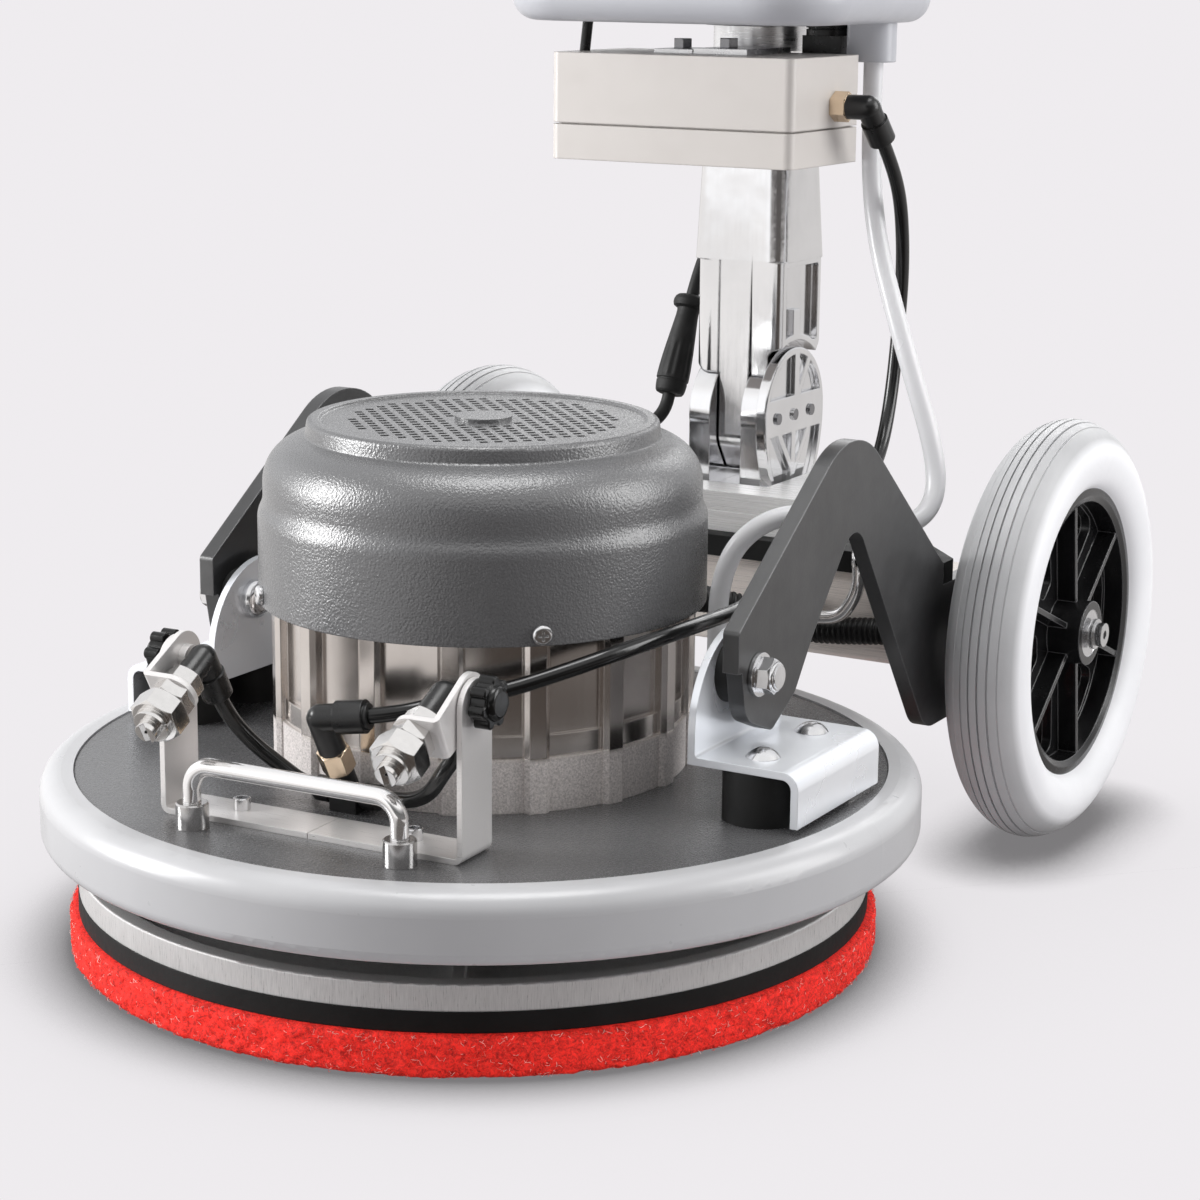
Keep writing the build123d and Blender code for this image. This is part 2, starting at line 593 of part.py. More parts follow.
g1, cable_end, cable_dir, seat1 = gland(117.0, 166.0, cable_radius, 20)
g2, conduit_start, conduit_dir, seat2 = gland(84.0, 152.0, conduit_radius, 28)
nodes["deck_fittings"] = group(tail, g1, g2)
pad1 = rod((0.0, 0.0, 166.0), (111 * math.cos(math.radians(117)), 111 * math.sin(math.radians(117)), 166.0), 14.0)
pad2 = rod((0.0, 0.0, 152.0), (111 * math.cos(math.radians(84)), 111 * math.sin(math.radians(84)), 152.0), 18.0)
frame += (pad1 + pad2) - cyl(stator_radius + 2, 90, 240)
frame -= g1
frame -= g2
nodes["motor_frame"] = frame
nodes["deck_plate"] = deck

# ---------------------------------------------------------------- chassis
outline = [
    (-28, 190.0, 3), (101.7, 279.8, 50), (226, 178, 0), (226, 166, 0), (361, 166, 12), (361, 85, 38), (207.4, 85, 22),
    (104.9, 225.9, 14.5), (55, 171, 60), (36, 146, 16), (10, 131.8, 6), (-19, 143.5, 16), (-24, 169, 0), (-28, 169, 0),
]
side_plate = sheet_x(outline, plate_in, plate_out)
side_plate -= cylx(pivot_radius + 0.05, plate_in - 2, plate_out + 2, pivot_y, pivot_z)
side_plate -= cylx(6.0, plate_in - 2, plate_out + 2, axle_y, axle_z)
nodes["side_plates"] = both(side_plate)

cross = plate_z([(-166, 226, 2), (166, 226, 2), (166, 240, 2), (120, 290, 10), (70, 352, 8), (-70, 352, 8), (-120, 290, 10), (-166, 240, 2)], 166, 178.5)
nodes["cross_plate"] = cross

beam = box(-plate_in, plate_in, 235, 289, 112, 166)
beam = fillet(beam.edges().filter_by(Axis.X), 3)
beam -= box(-plate_in - 1, plate_in + 1, 238, 286, 115, 163)
nodes["axle_beam"] = beam

shaft = cylx(10, -plate_in, plate_in, axle_y, axle_z) + cylx(6.0, -222, 222, axle_y, axle_z)
for s in (-1, 1):
    shaft += ringx(12, 5.5, min(s * plate_out, s * 173.5), max(s * plate_out, s * 173.5), axle_y, axle_z)
    shaft += ringx(9, 5.5, min(s * 222.6, s * 225.2), max(s * 222.6, s * 225.2), axle_y, axle_z)
    shaft += cylx(6.0, min(s * 220, s * 225), max(s * 220, s * 225), axle_y, axle_z)
    cap = cylx(7.0, min(s * 225, s * 230), max(s * 225, s * 230), axle_y, axle_z)
    cap -= Plane(origin=(s * 227, axle_y, axle_z), z_dir=(s, 0, 0)).location * extrude(RegularPolygon(2.5, 6, major_radius=False), 5)
    shaft += cap
nodes["axle"] = shaft

lower = plate_z([(-67, 238, 3), (67, 238, 3), (67, 350, 6), (-67, 350, 6)], 178.5, 190.5)
upper = plate_z([(-67, 238, 3), (67, 238, 3), (67, 350, 6), (-67, 350, 6)], 190.5, 202.5)
upper -= box(-34, 34, 264, 342, 180, 210)
nodes["base_plates"] = group(lower, upper)

# clevis: floor, two inner cheeks with round tops, and on the right an outer cheek with a round top, tapering sides and an index band
clevis = box(-31, 31, 276, 336, 190.5, 197.5)
for s in (-1, 1):
    x0, x1 = sorted((s * 10.5, s * 24.6))
    cheek = cylx(31.5, x0, x1, knuckle_y, knuckle_z) + box(x0, x1, 274, 337, 190.5, knuckle_z)
    clevis += cheek


def cheek_face(grow, top_z, bottom_z):
    """Round-topped outline about the pivot whose sides draw in towards its foot."""
    r = cheek_disc_radius + grow
    cy, cz = knuckle_y + 1.4, knuckle_z + 1.0
    low = 62.0 + grow
    side = lambda z: r * math.sqrt(max(0.0, 1 - ((z - cz) / low) ** 2))
    zm = (cz + bottom_z) / 2
    a, b, e = (0, cy + r, cz), (0, cy, cz + r), (0, cy - r, cz)
    f, g = (0, cy - side(zm), zm), (0, cy - side(bottom_z), bottom_z)
    h, k = (0, cy + side(bottom_z), bottom_z), (0, cy + side(zm), zm)
    edges = [Edge.make_three_point_arc(a, b, e), Edge.make_three_point_arc(e, f, g), Edge.make_line(g, h), Edge.make_three_point_arc(h, k, a)]
    return Face(Wire(edges))


outer_cheek = Pos(24.4, 0, 0) * extrude(cheek_face(0, 0, 190.5), 6.6, dir=(1, 0, 0))
outer_rim = outer_cheek.edges().filter_by(lambda e: abs(e.center().X - 31) < 0.01 and e.center().Z > 191)
outer_cheek = fillet(outer_rim, 1.2)
hollow = Pos(28.0, 0, 0) * extrude(cheek_face(-4.2, 0, 198.5), 6, dir=(1, 0, 0))
band = box(20, 40, 255, 355, knuckle_z - 10.8, knuckle_z + 11.6)
upper_rib = box(20, 40, knuckle_y + 0.2, knuckle_y + 6.2, knuckle_z, knuckle_z + 50)
lean_rib = Pos(0, knuckle_y + 2, knuckle_z + 6) * Rot(-34, 0, 0) * box(20, 40, -2.2, 2.2, 0, 50)
lower_rib = box(20, 40, knuckle_y - 2.6, knuckle_y + 2.8, 180, knuckle_z)
lower_lean = Pos(0, knuckle_y + 1, 205.0) * Rot(-38, 0, 0) * box(20, 40, -2.0, 2.0, 0, 50) + Pos(0, knuckle_y + 1, 205.0) * Rot(38, 0, 0) * box(20, 40, -2.0, 2.0, 0, 50)
hollow -= band + upper_rib + lean_rib + lower_rib + lower_lean
outer_cheek -= hollow
outer_cheek += cylx(3.5, 30, 32.4, 282.4, knuckle_z) + cylx(3.5, 30, 32.4, 327.6, knuckle_z)
clevis += outer_cheek
clevis -= cylx(8.0, -30, 24.4, knuckle_y, knuckle_z)
clevis -= cylx(3.5, -40, 40, knuckle_y, knuckle_z)
nodes["knuckle_clevis"] = clevis
pin = cylx(8.0, -24.6, 24.4, knuckle_y, knuckle_z) + cylx(3.5, -26.6, 32.4, knuckle_y, knuckle_z)
nodes["knuckle_pin"] = pin

guide_pts = [(117, 256, 182.5), (117, 213, 182.5), (123, 211, 164), (110, 211, 143), (80, 211, 139), (63, 212, 155), (63, 235, 158)]
guide = sweep(
    Plane(origin=guide_pts[0], z_dir=Vector(*guide_pts[1]) - Vector(*guide_pts[0])).location * Circle(4.0),
    path=Wire(smooth_edges(guide_pts, [0, 10, 30, 16, 12, 10, 0])),
)
guide -= box(100, 130, 240, 270, 170, 178.5)
guide -= box(50, 80, 235, 250, 150, 165)
guide += box(109, 125, 246, 262, 178.5, 183)
nodes["hose_guide"] = guide

# ---------------------------------------------------------------- wheels
def tyre(x):
    w = wheel_half
    b = rim_half
    # one smooth curve from bead to bead over the bulging sides and the crown
    side = [(rim_radius, b), (90.0, w - 3.6), (97.0, w - 0.7), (103.5, w), (110.5, w - 1.9), (116.6, w - 6.0), (121.2, w - 11.8), (124.0, w - 18.0)]
    curve = side + [(wheel_radius, 0.0)] + [(r, -z) for r, z in reversed(side)]
    edge = Spline(*[(r, 0, z) for r, z in curve])
    close = Line((rim_radius, 0, -b), (rim_radius, 0, b))
    body = revolve(make_face([edge, close]), Axis.Z, 360)
    for g in (13.0, 7.8, 2.6, -2.6, -7.8, -13.0):
        r = wheel_radius - (1 - math.sqrt(1 - (g / 44.0) ** 2)) * 44 * (1.0 + abs(g) / 40)
        body -= ring(wheel_radius + 4, r - 1.7, g - 0.6, g + 0.6)
    body = Pos(x, axle_y, axle_z) * Rot(0, 90, 0) * body
    return body


def rim_part(x, s):
    h = rim_half
    bar = spin([(77.5, -h + 1), (81, -h - 0.6), (rim_radius, -h), (rim_radius, h), (81, h + 0.6), (77.5, h - 1)])
    web = Cylinder(80, 6) - Cylinder(10, 40)
    hubs = Cylinder(19, 46)
    wheel = bar + web + hubs
    for k in range(6):
        wheel += Rot(0, 0, 60 * k + 8) * box(16, 80, -1.6, 1.6, -h + 1.5, h - 1.5)
        pocket = [(34, -7, 5), (71, -26, 7), (75, 0, 10), (71, 26, 7), (34, 7, 5)]
        frame_in = plate_z(pocket, -30, 30)
        wheel -= Rot(0, 0, 60 * k + 38) * (Pos(0, 0, 0) * frame_in & Cylinder(76, 60))
    wheel -= Cylinder(14, 16).moved(Location((0, 0, 19))) + Cylinder(14, 16).moved(Location((0, 0, -19)))
    wheel -= Cylinder(7.0, 60)
    race = Pos(0, 0, 17.5) * (Cylinder(14, 10.5) - Cylinder(6.0 + 0.05, 20)) + Pos(0, 0, -17.5) * (Cylinder(14, 10.5) - Cylinder(6.0 + 0.05, 20))
    placed = [Pos(x, axle_y, axle_z) * Rot(0, 90, 0) * p for p in (wheel, race)]
    return group(*placed)


nodes["tyre_left"] = tyre(-wheel_x)
nodes["tyre_right"] = tyre(wheel_x)
nodes["rim_left"] = rim_part(-wheel_x, -1)
nodes["rim_right"] = rim_part(wheel_x, 1)

# ---------------------------------------------------------------- handle: casting, tube, box
def rect(z, y, wx, wy, r):
    return Pos(0, y, z) * RectangleRounded(wx, wy, r)


collar = loft([rect(334, 315.2, 64, 62.4, 12), rect(box_z0 - 0.2, 313.9, 60, 54, 12)])
stem = plate_z([(-30, 284, 14), (31, 284, 6), (31, 342, 6), (-30, 342, 6)], 240, 334.5)
stem -= cylx(32.4, -40, 23.4, knuckle_y, knuckle_z)
stem -= cylx(45.6, 22.5, 40, knuckle_y, knuckle_z)
stem -= box(-40, 40, 270, 360, 230, knuckle_z)
# rear of the stem relieved so that it clears the cheeks when the handle is laid back
lean = math.tan(math.radians(38.0))
stem -= sheet_x([(knuckle_y, knuckle_z, 0), (knuckle_y + 112 * lean, knuckle_z + 112, 0), (knuckle_y + 112 * lean, 230, 0), (knuckle_y, 230, 0)], -40, 40)
tongue = sheet_x([(284, 334.5, 0), (284, 224, 14), (298, 203.6, 10), (312, 203.6, 10), (327, 224, 14), (327, 334.5, 0)], -9.6, 9.6)
casting = collar + stem + tongue
# side pocket: one tall hollow with a short rib standing on the arch below it
pocket = sheet_x([(291, 287, 2), (291, 331, 2), (334, 331, 2), (334, 284, 2)], 26.5, 33) - box(20, 40, 301.5, 310.5, 270, 305)
pocket -= cylx(49.0, 20, 40, knuckle_y, knuckle_z)
casting -= pocket
# one fine line and one widening groove down the front beside the tongue
casting -= box(-11.2, -10.2, 282, 285, 262, 334)
for s, w in ((1, 2.2),):
    groove = plate_z([(0, 0, 0), (w, 0, 0), (w / 2, 76, 0)], 0, 8)
    casting -= Pos(9.8, 292, 264) * Rot(90, 0, 0) * groove
casting -= cylx(8.05, -40, 40, knuckle_y, knuckle_z)
casting -= cyl(tube_radius, 346, 400, 0, tube_y)
nodes["handle_casting"] = casting

stalk = ring(tube_radius, tube_radius - 2.5, 346, tube_top, 0, tube_y)
# sleeve above the box, washer under the tank, plates on the box with two bolts, a short wire up to the tank and a plug in its boot
clamp = ring(sleeve_radius, tube_radius, box_z1, 472.8, 0, tube_y - 1.5) - cyl(tube_radius, 450, 480, 0, tube_y)
flange = ring(34.5, sleeve_radius - 4, 472.8, 475.8, 0, tube_y - 2.0) - cyl(tube_radius, 450, 480, 0, tube_y)
shelf = box(-24, 1.0, 222, 256, box_z1, box_z1 + 2.6) + box(1.6, 36, 222, 278, box_z1, box_z1 + 3.4)
bolts = None
for s in (-1, 1):
    foot = box_z1 + (2.6 if s < 0 else 3.4)
    b = hexnut((s * 15, 240, foot), (s * 15, 240, foot + 5.5), 10, (False, True))
    bolts = b if bolts is None else bolts + b
wire = rod((-72.2, 224.9, box_z1 - 2), (-70.3, 226.1, tank_z0 + 2), 3.1) & box(-90, -50, 200, 250, box_z1, tank_z0)
stalk -= rod((-7.0, 325.25, 436.0), (-19.0, 346.75, 420.0), cable_radius + 0.3)
plug = box(37, 62, 291, 309, 456, 468) + cyl(13.5, 468, 471.6, 50, 300) + cyl(12.3, 471.6, 472.4, 50, 300) + cyl(13.5, 472.4, tank_z0, 50, 300)
nodes["handle_tube"] = group(stalk, clamp, flange, shelf, bolts, wire, plug)

case = Pos(0, (box_y0 + box_y1) / 2, 0) * extrude(RectangleRounded(2 * box_half, box_y1 - box_y0, 5), box_z1 - box_z0)
case = Pos(0, 0, box_z0) * case
low_case = case & box(-100, 100, 150, 300, box_z0 - 1, box_seam - 0.5)
high_case = case & box(-100, 100, 150, 300, box_seam + 0.5, box_z1 + 1)
low_case -= box(-box_half + 3, box_half - 3, box_y0 + 3, box_y1 - 3, box_z0 + 3, box_seam + 5)
high_case -= box(-box_half + 3, box_half - 3, box_y0 + 3, box_y1 - 3, box_seam - 5, box_z1 - 3)
lip = (Pos(0, (box_y0 + box_y1) / 2, box_seam - 4) * extrude(RectangleRounded(2 * box_half - 6, box_y1 - box_y0 - 6, 3), 8)) - box(
    -box_half + 5, box_half - 5, box_y0 + 5, box_y1 - 5, box_seam - 10, box_seam + 10
)
low_case += lip
port_y, port_z = 251.0, 430.0
high_case -= rod((70, port_y, port_z), (82, port_y, port_z), 5.0)
nodes["control_box"] = group(low_case, high_case)

nutb = hexrod((box_half, port_y, port_z), (box_half + 9, port_y, port_z), 15) + rod((box_half - 6, port_y, port_z), (box_half + 1, port_y, port_z), 5.0)
ec = (box_half + 21.0, port_y + 1, port_z)
swivel = (0.10, 0.62, -0.78)
sl = math.sqrt(sum(v * v for v in swivel))
swivel = tuple(v / sl for v in swivel)
el = rod((box_half + 9, port_y, port_z), (ec[0], port_y, port_z), 7.0) + Pos(ec[0], port_y, port_z) * Sphere(7.0)
ec = (ec[0], port_y, port_z)
el += rod(ec, point(ec, swivel, 22), 6.8) + rod(point(ec, swivel, 10), point(ec, swivel, 24), 7.9)
feed_top = point(ec, swivel, 17)
el -= rod(feed_top, point(ec, swivel, 26), feed_radius)
nodes["box_elbow"] = group(nutb, el)

# ---------------------------------------------------------------- tank with filler cap and valve
def tank_body(g, groove):
    out = plate_z(
        [(-tank_half + g, tank_y0 + g, 45 - g), (tank_half - g, tank_y0 + g, 45 - g), (tank_half - g, tank_y1 - g, 32 - g), (-tank_half + g, tank_y1 - g, 32 - g)],
        tank_z0 + g, tank_z1 - g,
    )
    slot = cyl(groove, tank_z0 - 5, tank_z1 + 5, 0, tube_y) + box(-groove, groove, tube_y, tank_y1 + 10, tank_z0 - 5, tank_z1 + 5)
    return out, slot


shell, slot = tank_body(0.0, tube_radius + 1.0)
shell = fillet(shell.edges().group_by(Axis.Z)[0], 14)
shell = fillet(shell.edges().group_by(Axis.Z)[-1], 16)
shell -= slot
cavity, keep = tank_body(tank_wall, tube_radius + 1.0 + tank_wall)
cavity = fillet(cavity.edges().group_by(Axis.Z)[0], 14 - tank_wall)
cavity = fillet(cavity.edges().group_by(Axis.Z)[-1], 16 - tank_wall)
cavity -= keep
fill_y = 226.0
neck = cyl(38, tank_z1 - 6, tank_z1 + 12, 0, fill_y)
tank = shell + neck
tank -= cavity
tank -= cyl(32, tank_z1 - 10, tank_z1 + 20, 0, fill_y)
nodes["tank"] = tank
cap_top = cyl(45, tank_z1 + 12.2, tank_z1 + 26, 0, fill_y) + cyl(31, tank_z1 - 2, tank_z1 + 13, 0, fill_y)
cap_top = fillet(cap_top.edges().group_by(Axis.Z)[-1], 3)
for k in range(12):
    a = math.radians(30 * k)
    cap_top -= cyl(4, tank_z1 + 12, tank_z1 + 24, 47 * math.cos(a), fill_y + 47 * math.sin(a))
nodes["tank_cap"] = cap_top

valve = plate_z([(66, 288, 3), (92, 288, 11.5), (92, 312, 11.5), (66, 312, 3)], 453.5, tank_z0)
low_edge = valve.edges().group_by(Axis.Z)[0]
valve = fillet(low_edge, 1.0)
valve -= rod((79, 300, 440), (79, 300, 462), hose_radius)
for x, y in ((86.0, 291.5), (89.0, 296.0)):
    valve -= cyl(1.5, 450, 457, x, y)
nodes["valve_block"] = valve

# ---------------------------------------------------------------- handle head with grips, lever and button
head_y = 318.0
head = plate_z([(-75, 276, 16), (75, 276, 16), (75, 360, 16), (-75, 360, 16)], 1052, 1118)
head = fillet(head.edges().group_by(Axis.Z)[-1], 10)
bar = cylx(12.5, -205, 205, 330, 1092)
head += bar
head -= cyl(tube_radius, 1040, tube_top, 0, tube_y)
# slot for the lever with a hole each side for its trunnions, and a hole for the button
lever_y, lever_z = 286.0, 1097.0
head -= box(-60.5, 60.5, 262, 294, 1088, 1106)
head -= cylx(3.05, -67, 67, lever_y, lever_z)
button_x, button_y = 45.0, 306.0
head -= cyl(9.05, 1104, 1125, button_x, button_y)
nodes["handle_head"] = head
grip = ringx(17, 12.5, 92, 203, 330, 1092)
grip = fillet(grip.edges().group_by(Axis.X)[0].sort_by(SortBy.RADIUS)[-1:] + grip.edges().group_by(Axis.X)[-1].sort_by(SortBy.RADIUS)[-1:], 3)
nodes["hand_grips"] = both(grip)

lever = box(-59.5, 59.5, 240, lever_y, lever_z - 4, lever_z + 4)
lever = fillet(lever.edges().filter_by(Axis.X), 3)
lever += cylx(5.5, -59.5, 59.5, lever_y, lever_z)
lever += cylx(3.0, -66, 66, lever_y, lever_z)
nodes["switch_lever"] = lever
button = cyl(9.0, 1110, 1124, button_x, button_y)
button = fillet(button.edges().group_by(Axis.Z)[-1], 2)
nodes["lock_button"] = button

# ---------------------------------------------------------------- hoses, tubes and cables
def turned(p):
    a = math.radians(front_set_angle)
    return (p[0] * math.cos(a) - p[1] * math.sin(a), p[0] * math.sin(a) + p[1] * math.cos(a), p[2])


feed_from = point(feed_corner, feed_dir, 15)
feed_path = [
    feed_from,
    point(feed_corner, feed_dir, 36),
    (52, -119, 159.5),
    (74.5, -98, 164.0),
    (95.5, -79, 172.0),
    (113.0, -52, 179.0),
    (123.0, -14, 182.0),
    (121.0, 32, 179.5),
    (114.5, 80, 175.5),
    (113.5, 132, 183.0),
    (112.5, 180, 199.0),
    (111.0, 219, 215.0),
    (106.0, 256, 219.0),
    (101.0, 282, 233.0),
    (98.5, 298, 262.0),
    (99.0, 303, 298.0),
    (101.0, 302.5, 334.0),
    (102.0, 296, 366.0),
    (103.2, 285, 386.0),
    point(feed_top, swivel, 14),
    feed_top,
]
nodes["feed_tube"] = cord(feed_path, feed_radius, "feed_tube")

left_c, left_leg = turned(left[3]), turned(left[4])
right_c, right_leg = turned(right[3]), turned(right[4])
left_tube = [
    left_c,
    point(left_c, left_leg, 18),
    (-54.0, -131, 126.0),
    (-41.0, -122.5, 113.0),
    (tee_x - 26, tee_y, tee_z),
    (tee_x - 11, tee_y, tee_z),
]
right_tube = [
    right_c,
    point(right_c, right_leg, 16),
    (63.0, -136, 130.0),
    (50.0, -129, 114.5),
    (tee_x + 31, tee_y, tee_z),
    (tee_x + 11, tee_y, tee_z),
]
nodes["spray_tubes"] = group(
    cord(left_tube, feed_radius, "spray_tube_left"), cord(right_tube, feed_radius, "spray_tube_right")
)

hose_path = [
    (79, 300, 462),
    (79, 300, 425),
    (82, 295, 388),
    (91.6, 285, 351),
    (108.6, 276, 311),
    (124.5, 271, 273),
    (137, 268.5, 242),
    (143.3, 265.5, 219),
    (143.6, 258.5, 203.5),
    (137.5, 247.5, 194.5),
    (125.5, 235, 192.5),
    (108, 220.5, 196.5),
    (90.5, 207.5, 202),
    (75, 197.5, 200.5),
    (61.5, 189.5, 192),
    (51.5, 183.5, 178),
    (46.2, 180.6, 156),
    (46, 180, 130),
    (46, 180, deck_top + 11),
]
nodes["solution_hose"] = cord(hose_path, hose_radius, "solution_hose")

cable_path = [
    (-13.0, 336.0, 428.0),
    (-25.0, 357.5, 412.0),
    (-33.0, 364.0, 378.0),
    (-43.0, 346.0, 350.0),
    (-47.85, 325.4, 322.3),
    (-51.0, 286.8, 227.9),
    (-68.0, 255.0, 232.0),
    (-76.0, 214.0, 219.0),
    (-70.0, 168.0, 195.0),
    point(cable_end, cable_dir, 18),
    cable_end,
]
nodes["motor_cable"] = cord(cable_path, cable_radius, "motor_cable")

conduit_path = [
    conduit_start,
    point(conduit_start, conduit_dir, 40),
    (33, 205, 146),
    (66, 224, 129.5),
    (100, 226.4, 129.5),
    (plate_in - 1.8, 226, 137.5),
]
nodes["conduit"] = cord(conduit_path, conduit_radius, "conduit")

# connector on the cable, in line with its straight run beside the casting
near, away = Vector(*cable_path[4]), Vector(*cable_path[5])
plug_dir = (away - near).normalized()
plug_dir = (plug_dir.X, plug_dir.Y, plug_dir.Z)
plug_top = point(cable_path[4], plug_dir, 17)
plug = rod(plug_top, point(plug_top, plug_dir, 64), 7.4)
plug += rod(point(plug_top, plug_dir, 1), point(plug_top, plug_dir, 8), 10.4)
plug += rod(point(plug_top, plug_dir, 24), point(plug_top, plug_dir, 62), 9.0)
plug += rod(point(plug_top, plug_dir, 38), point(plug_top, plug_dir, 55), 10.2)
plug -= nodes["motor_cable"]
nodes["cable_connector"] = plug

# ---------------------------------------------------------------- write one file per piece
os.makedirs("parts", exist_ok=True)
for name, shape in nodes.items():
    shape.label = name
    export_step(shape, f"parts/{name}.step")
    solids = shape.solids()
    bb = shape.bounding_box()
    print(f"{name:22s} {len(solids):3d} solids  vol {sum(s.volume for s in solids)/1000:9.2f} cm3  x {bb.min.X:7.1f} {bb.max.X:7.1f}  y {bb.min.Y:7.1f} {bb.max.Y:7.1f}  z {bb.min.Z:7.1f} {bb.max.Z:7.1f}")
print(len(nodes), "nodes")
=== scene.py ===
import bpy
import json
import math
import random
from mathutils import Matrix, Vector, noise

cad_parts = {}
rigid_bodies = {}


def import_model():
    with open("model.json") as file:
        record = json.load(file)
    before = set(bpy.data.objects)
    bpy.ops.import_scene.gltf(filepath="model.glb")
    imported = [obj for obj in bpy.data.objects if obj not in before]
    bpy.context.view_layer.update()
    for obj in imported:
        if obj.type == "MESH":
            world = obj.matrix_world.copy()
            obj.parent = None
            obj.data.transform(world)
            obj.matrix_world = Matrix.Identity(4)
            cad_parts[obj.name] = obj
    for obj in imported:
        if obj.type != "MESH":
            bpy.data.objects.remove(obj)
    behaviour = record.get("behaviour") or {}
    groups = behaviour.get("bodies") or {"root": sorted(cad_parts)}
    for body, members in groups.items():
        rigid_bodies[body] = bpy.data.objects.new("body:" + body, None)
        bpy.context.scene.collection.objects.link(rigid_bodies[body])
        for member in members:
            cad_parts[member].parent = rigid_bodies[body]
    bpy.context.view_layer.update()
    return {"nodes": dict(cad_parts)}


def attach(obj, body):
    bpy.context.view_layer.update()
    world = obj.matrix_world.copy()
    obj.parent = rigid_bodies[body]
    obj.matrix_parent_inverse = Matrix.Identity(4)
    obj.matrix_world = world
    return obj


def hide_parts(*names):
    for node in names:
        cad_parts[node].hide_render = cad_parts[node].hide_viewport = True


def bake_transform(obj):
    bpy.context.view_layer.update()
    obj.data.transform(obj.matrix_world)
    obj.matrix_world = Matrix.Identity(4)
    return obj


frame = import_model()
nodes = frame["nodes"]
scene = bpy.context.scene
scene.view_settings.view_transform = "Standard"
scene.view_settings.look = "None"


# ------------------------------------------------------------------ camera
def make_camera():
    psi, theta, roll, turn = 0.042754, 0.228838, 0.009826, math.radians(32.3)
    forward = Vector((math.sin(psi) * math.cos(theta), math.cos(psi) * math.cos(theta), -math.sin(theta)))
    right0 = Vector((math.cos(psi), -math.sin(psi), 0.0))
    up0 = Vector((math.sin(psi) * math.sin(theta), math.cos(psi) * math.sin(theta), math.cos(theta)))
    right = right0 * math.cos(roll) + up0 * math.sin(roll)
    up = up0 * math.cos(roll) - right0 * math.sin(roll)
    m = Matrix((right, up, -forward)).transposed().to_4x4()
    m = Matrix.Rotation(turn, 4, "Z") @ m
    m.translation = Vector((0.7698, -1.2178, 0.5167))
    data = bpy.data.cameras.new("camera")
    data.lens = 84.0
    data.sensor_width = 36.0
    data.clip_start, data.clip_end = 0.05, 400.0
    cam = bpy.data.objects.new("camera", data)
    scene.collection.objects.link(cam)
    cam.matrix_world = m
    scene.camera = cam


make_camera()


# ------------------------------------------------------------------ node helpers
def put(nt, kind, props=None, **sockets):
    n = nt.nodes.new(kind)
    for k, v in (props or {}).items():
        setattr(n, k, v)
    for k, v in sockets.items():
        name = k.replace("_", " ")
        s = n.inputs[int(k[1:])] if k[0] == "i" and k[1:].isdigit() else n.inputs[name]
        if isinstance(v, bpy.types.NodeSocket):
            nt.links.new(v, s)
        else:
            s.default_value = v
    return n


def fresh(name, color=(0.5, 0.5, 0.5), rough=0.5, metal=0.0, **extra):
    m = bpy.data.materials.new(name)
    m.use_nodes = True
    nt = m.node_tree
    nt.nodes.clear()
    out = nt.nodes.new("ShaderNodeOutputMaterial")
    b = nt.nodes.new("ShaderNodeBsdfPrincipled")
    nt.links.new(b.outputs[0], out.inputs[0])
    b.inputs["Base Color"].default_value = (*color, 1)
    b.inputs["Roughness"].default_value = rough
    b.inputs["Metallic"].default_value = metal
    for k, v in extra.items():
        b.inputs[k.replace("_", " ")].default_value = v
    m.diffuse_color = (*color, 1)
    return m, nt, b


def coords(nt, scale=(1, 1, 1), rot=(0, 0, 0), loc=(0, 0, 0)):
    t = put(nt, "ShaderNodeTexCoord")
    mp = put(nt, "ShaderNodeMapping", Vector=t.outputs["Object"], Scale=scale, Rotation=rot, Location=loc)
    return mp.outputs[0]


def grain(nt, scale, detail=3.0, rough=0.55, stretch=(1, 1, 1), distort=0.0, rot=(0, 0, 0)):
    return put(
        nt, "ShaderNodeTexNoise", Vector=coords(nt, stretch, rot), Scale=scale, Detail=detail, Roughness=rough, Distortion=distort
    ).outputs["Fac"]


def ramp(nt, fac, lo, hi, c0, c1):
    """Two colours, or two grey values, spread between two values of fac."""
    if not hasattr(c0, "__len__"):
        r = put(nt, "ShaderNodeMapRange", Value=fac, From_Min=lo, From_Max=hi, To_Min=c0, To_Max=c1)
        return r.outputs[0]
    r = put(nt, "ShaderNodeValToRGB", Fac=fac)
    r.color_ramp.elements[0].position = lo
    r.color_ramp.elements[1].position = hi
    r.color_ramp.elements[0].color = (*c0, 1)
    r.color_ramp.elements[1].color = (*c1, 1)
    return r.outputs[0]


def math2(nt, op, a, b, clamp=False):
    n = nt.nodes.new("ShaderNodeMath")
    n.operation = op
    n.use_clamp = clamp
    for s, v in zip(n.inputs, (a, b)):
        if isinstance(v, bpy.types.NodeSocket):
            nt.links.new(v, s)
        else:
            s.default_value = v
    return n.outputs[0]


def mixf(nt, fac, a, b):
    n = nt.nodes.new("ShaderNodeMix")
    n.data_type = "FLOAT"
    for s, v in ((n.inputs[0], fac), (n.inputs[2], a), (n.inputs[3], b)):
        if isinstance(v, bpy.types.NodeSocket):
            nt.links.new(v, s)
        else:
            s.default_value = v
    return n.outputs[0]


def mixc(nt, fac, a, b, blend="MIX"):
    n = nt.nodes.new("ShaderNodeMix")
    n.data_type = "RGBA"
    n.blend_type = blend
    for s, v in ((n.inputs[0], fac), (n.inputs[6], a), (n.inputs[7], b)):
        if isinstance(v, bpy.types.NodeSocket):
            nt.links.new(v, s)
        elif hasattr(v, "__len__"):
            s.default_value = (*v, 1)
        else:
            s.default_value = v
    return n.outputs[2]


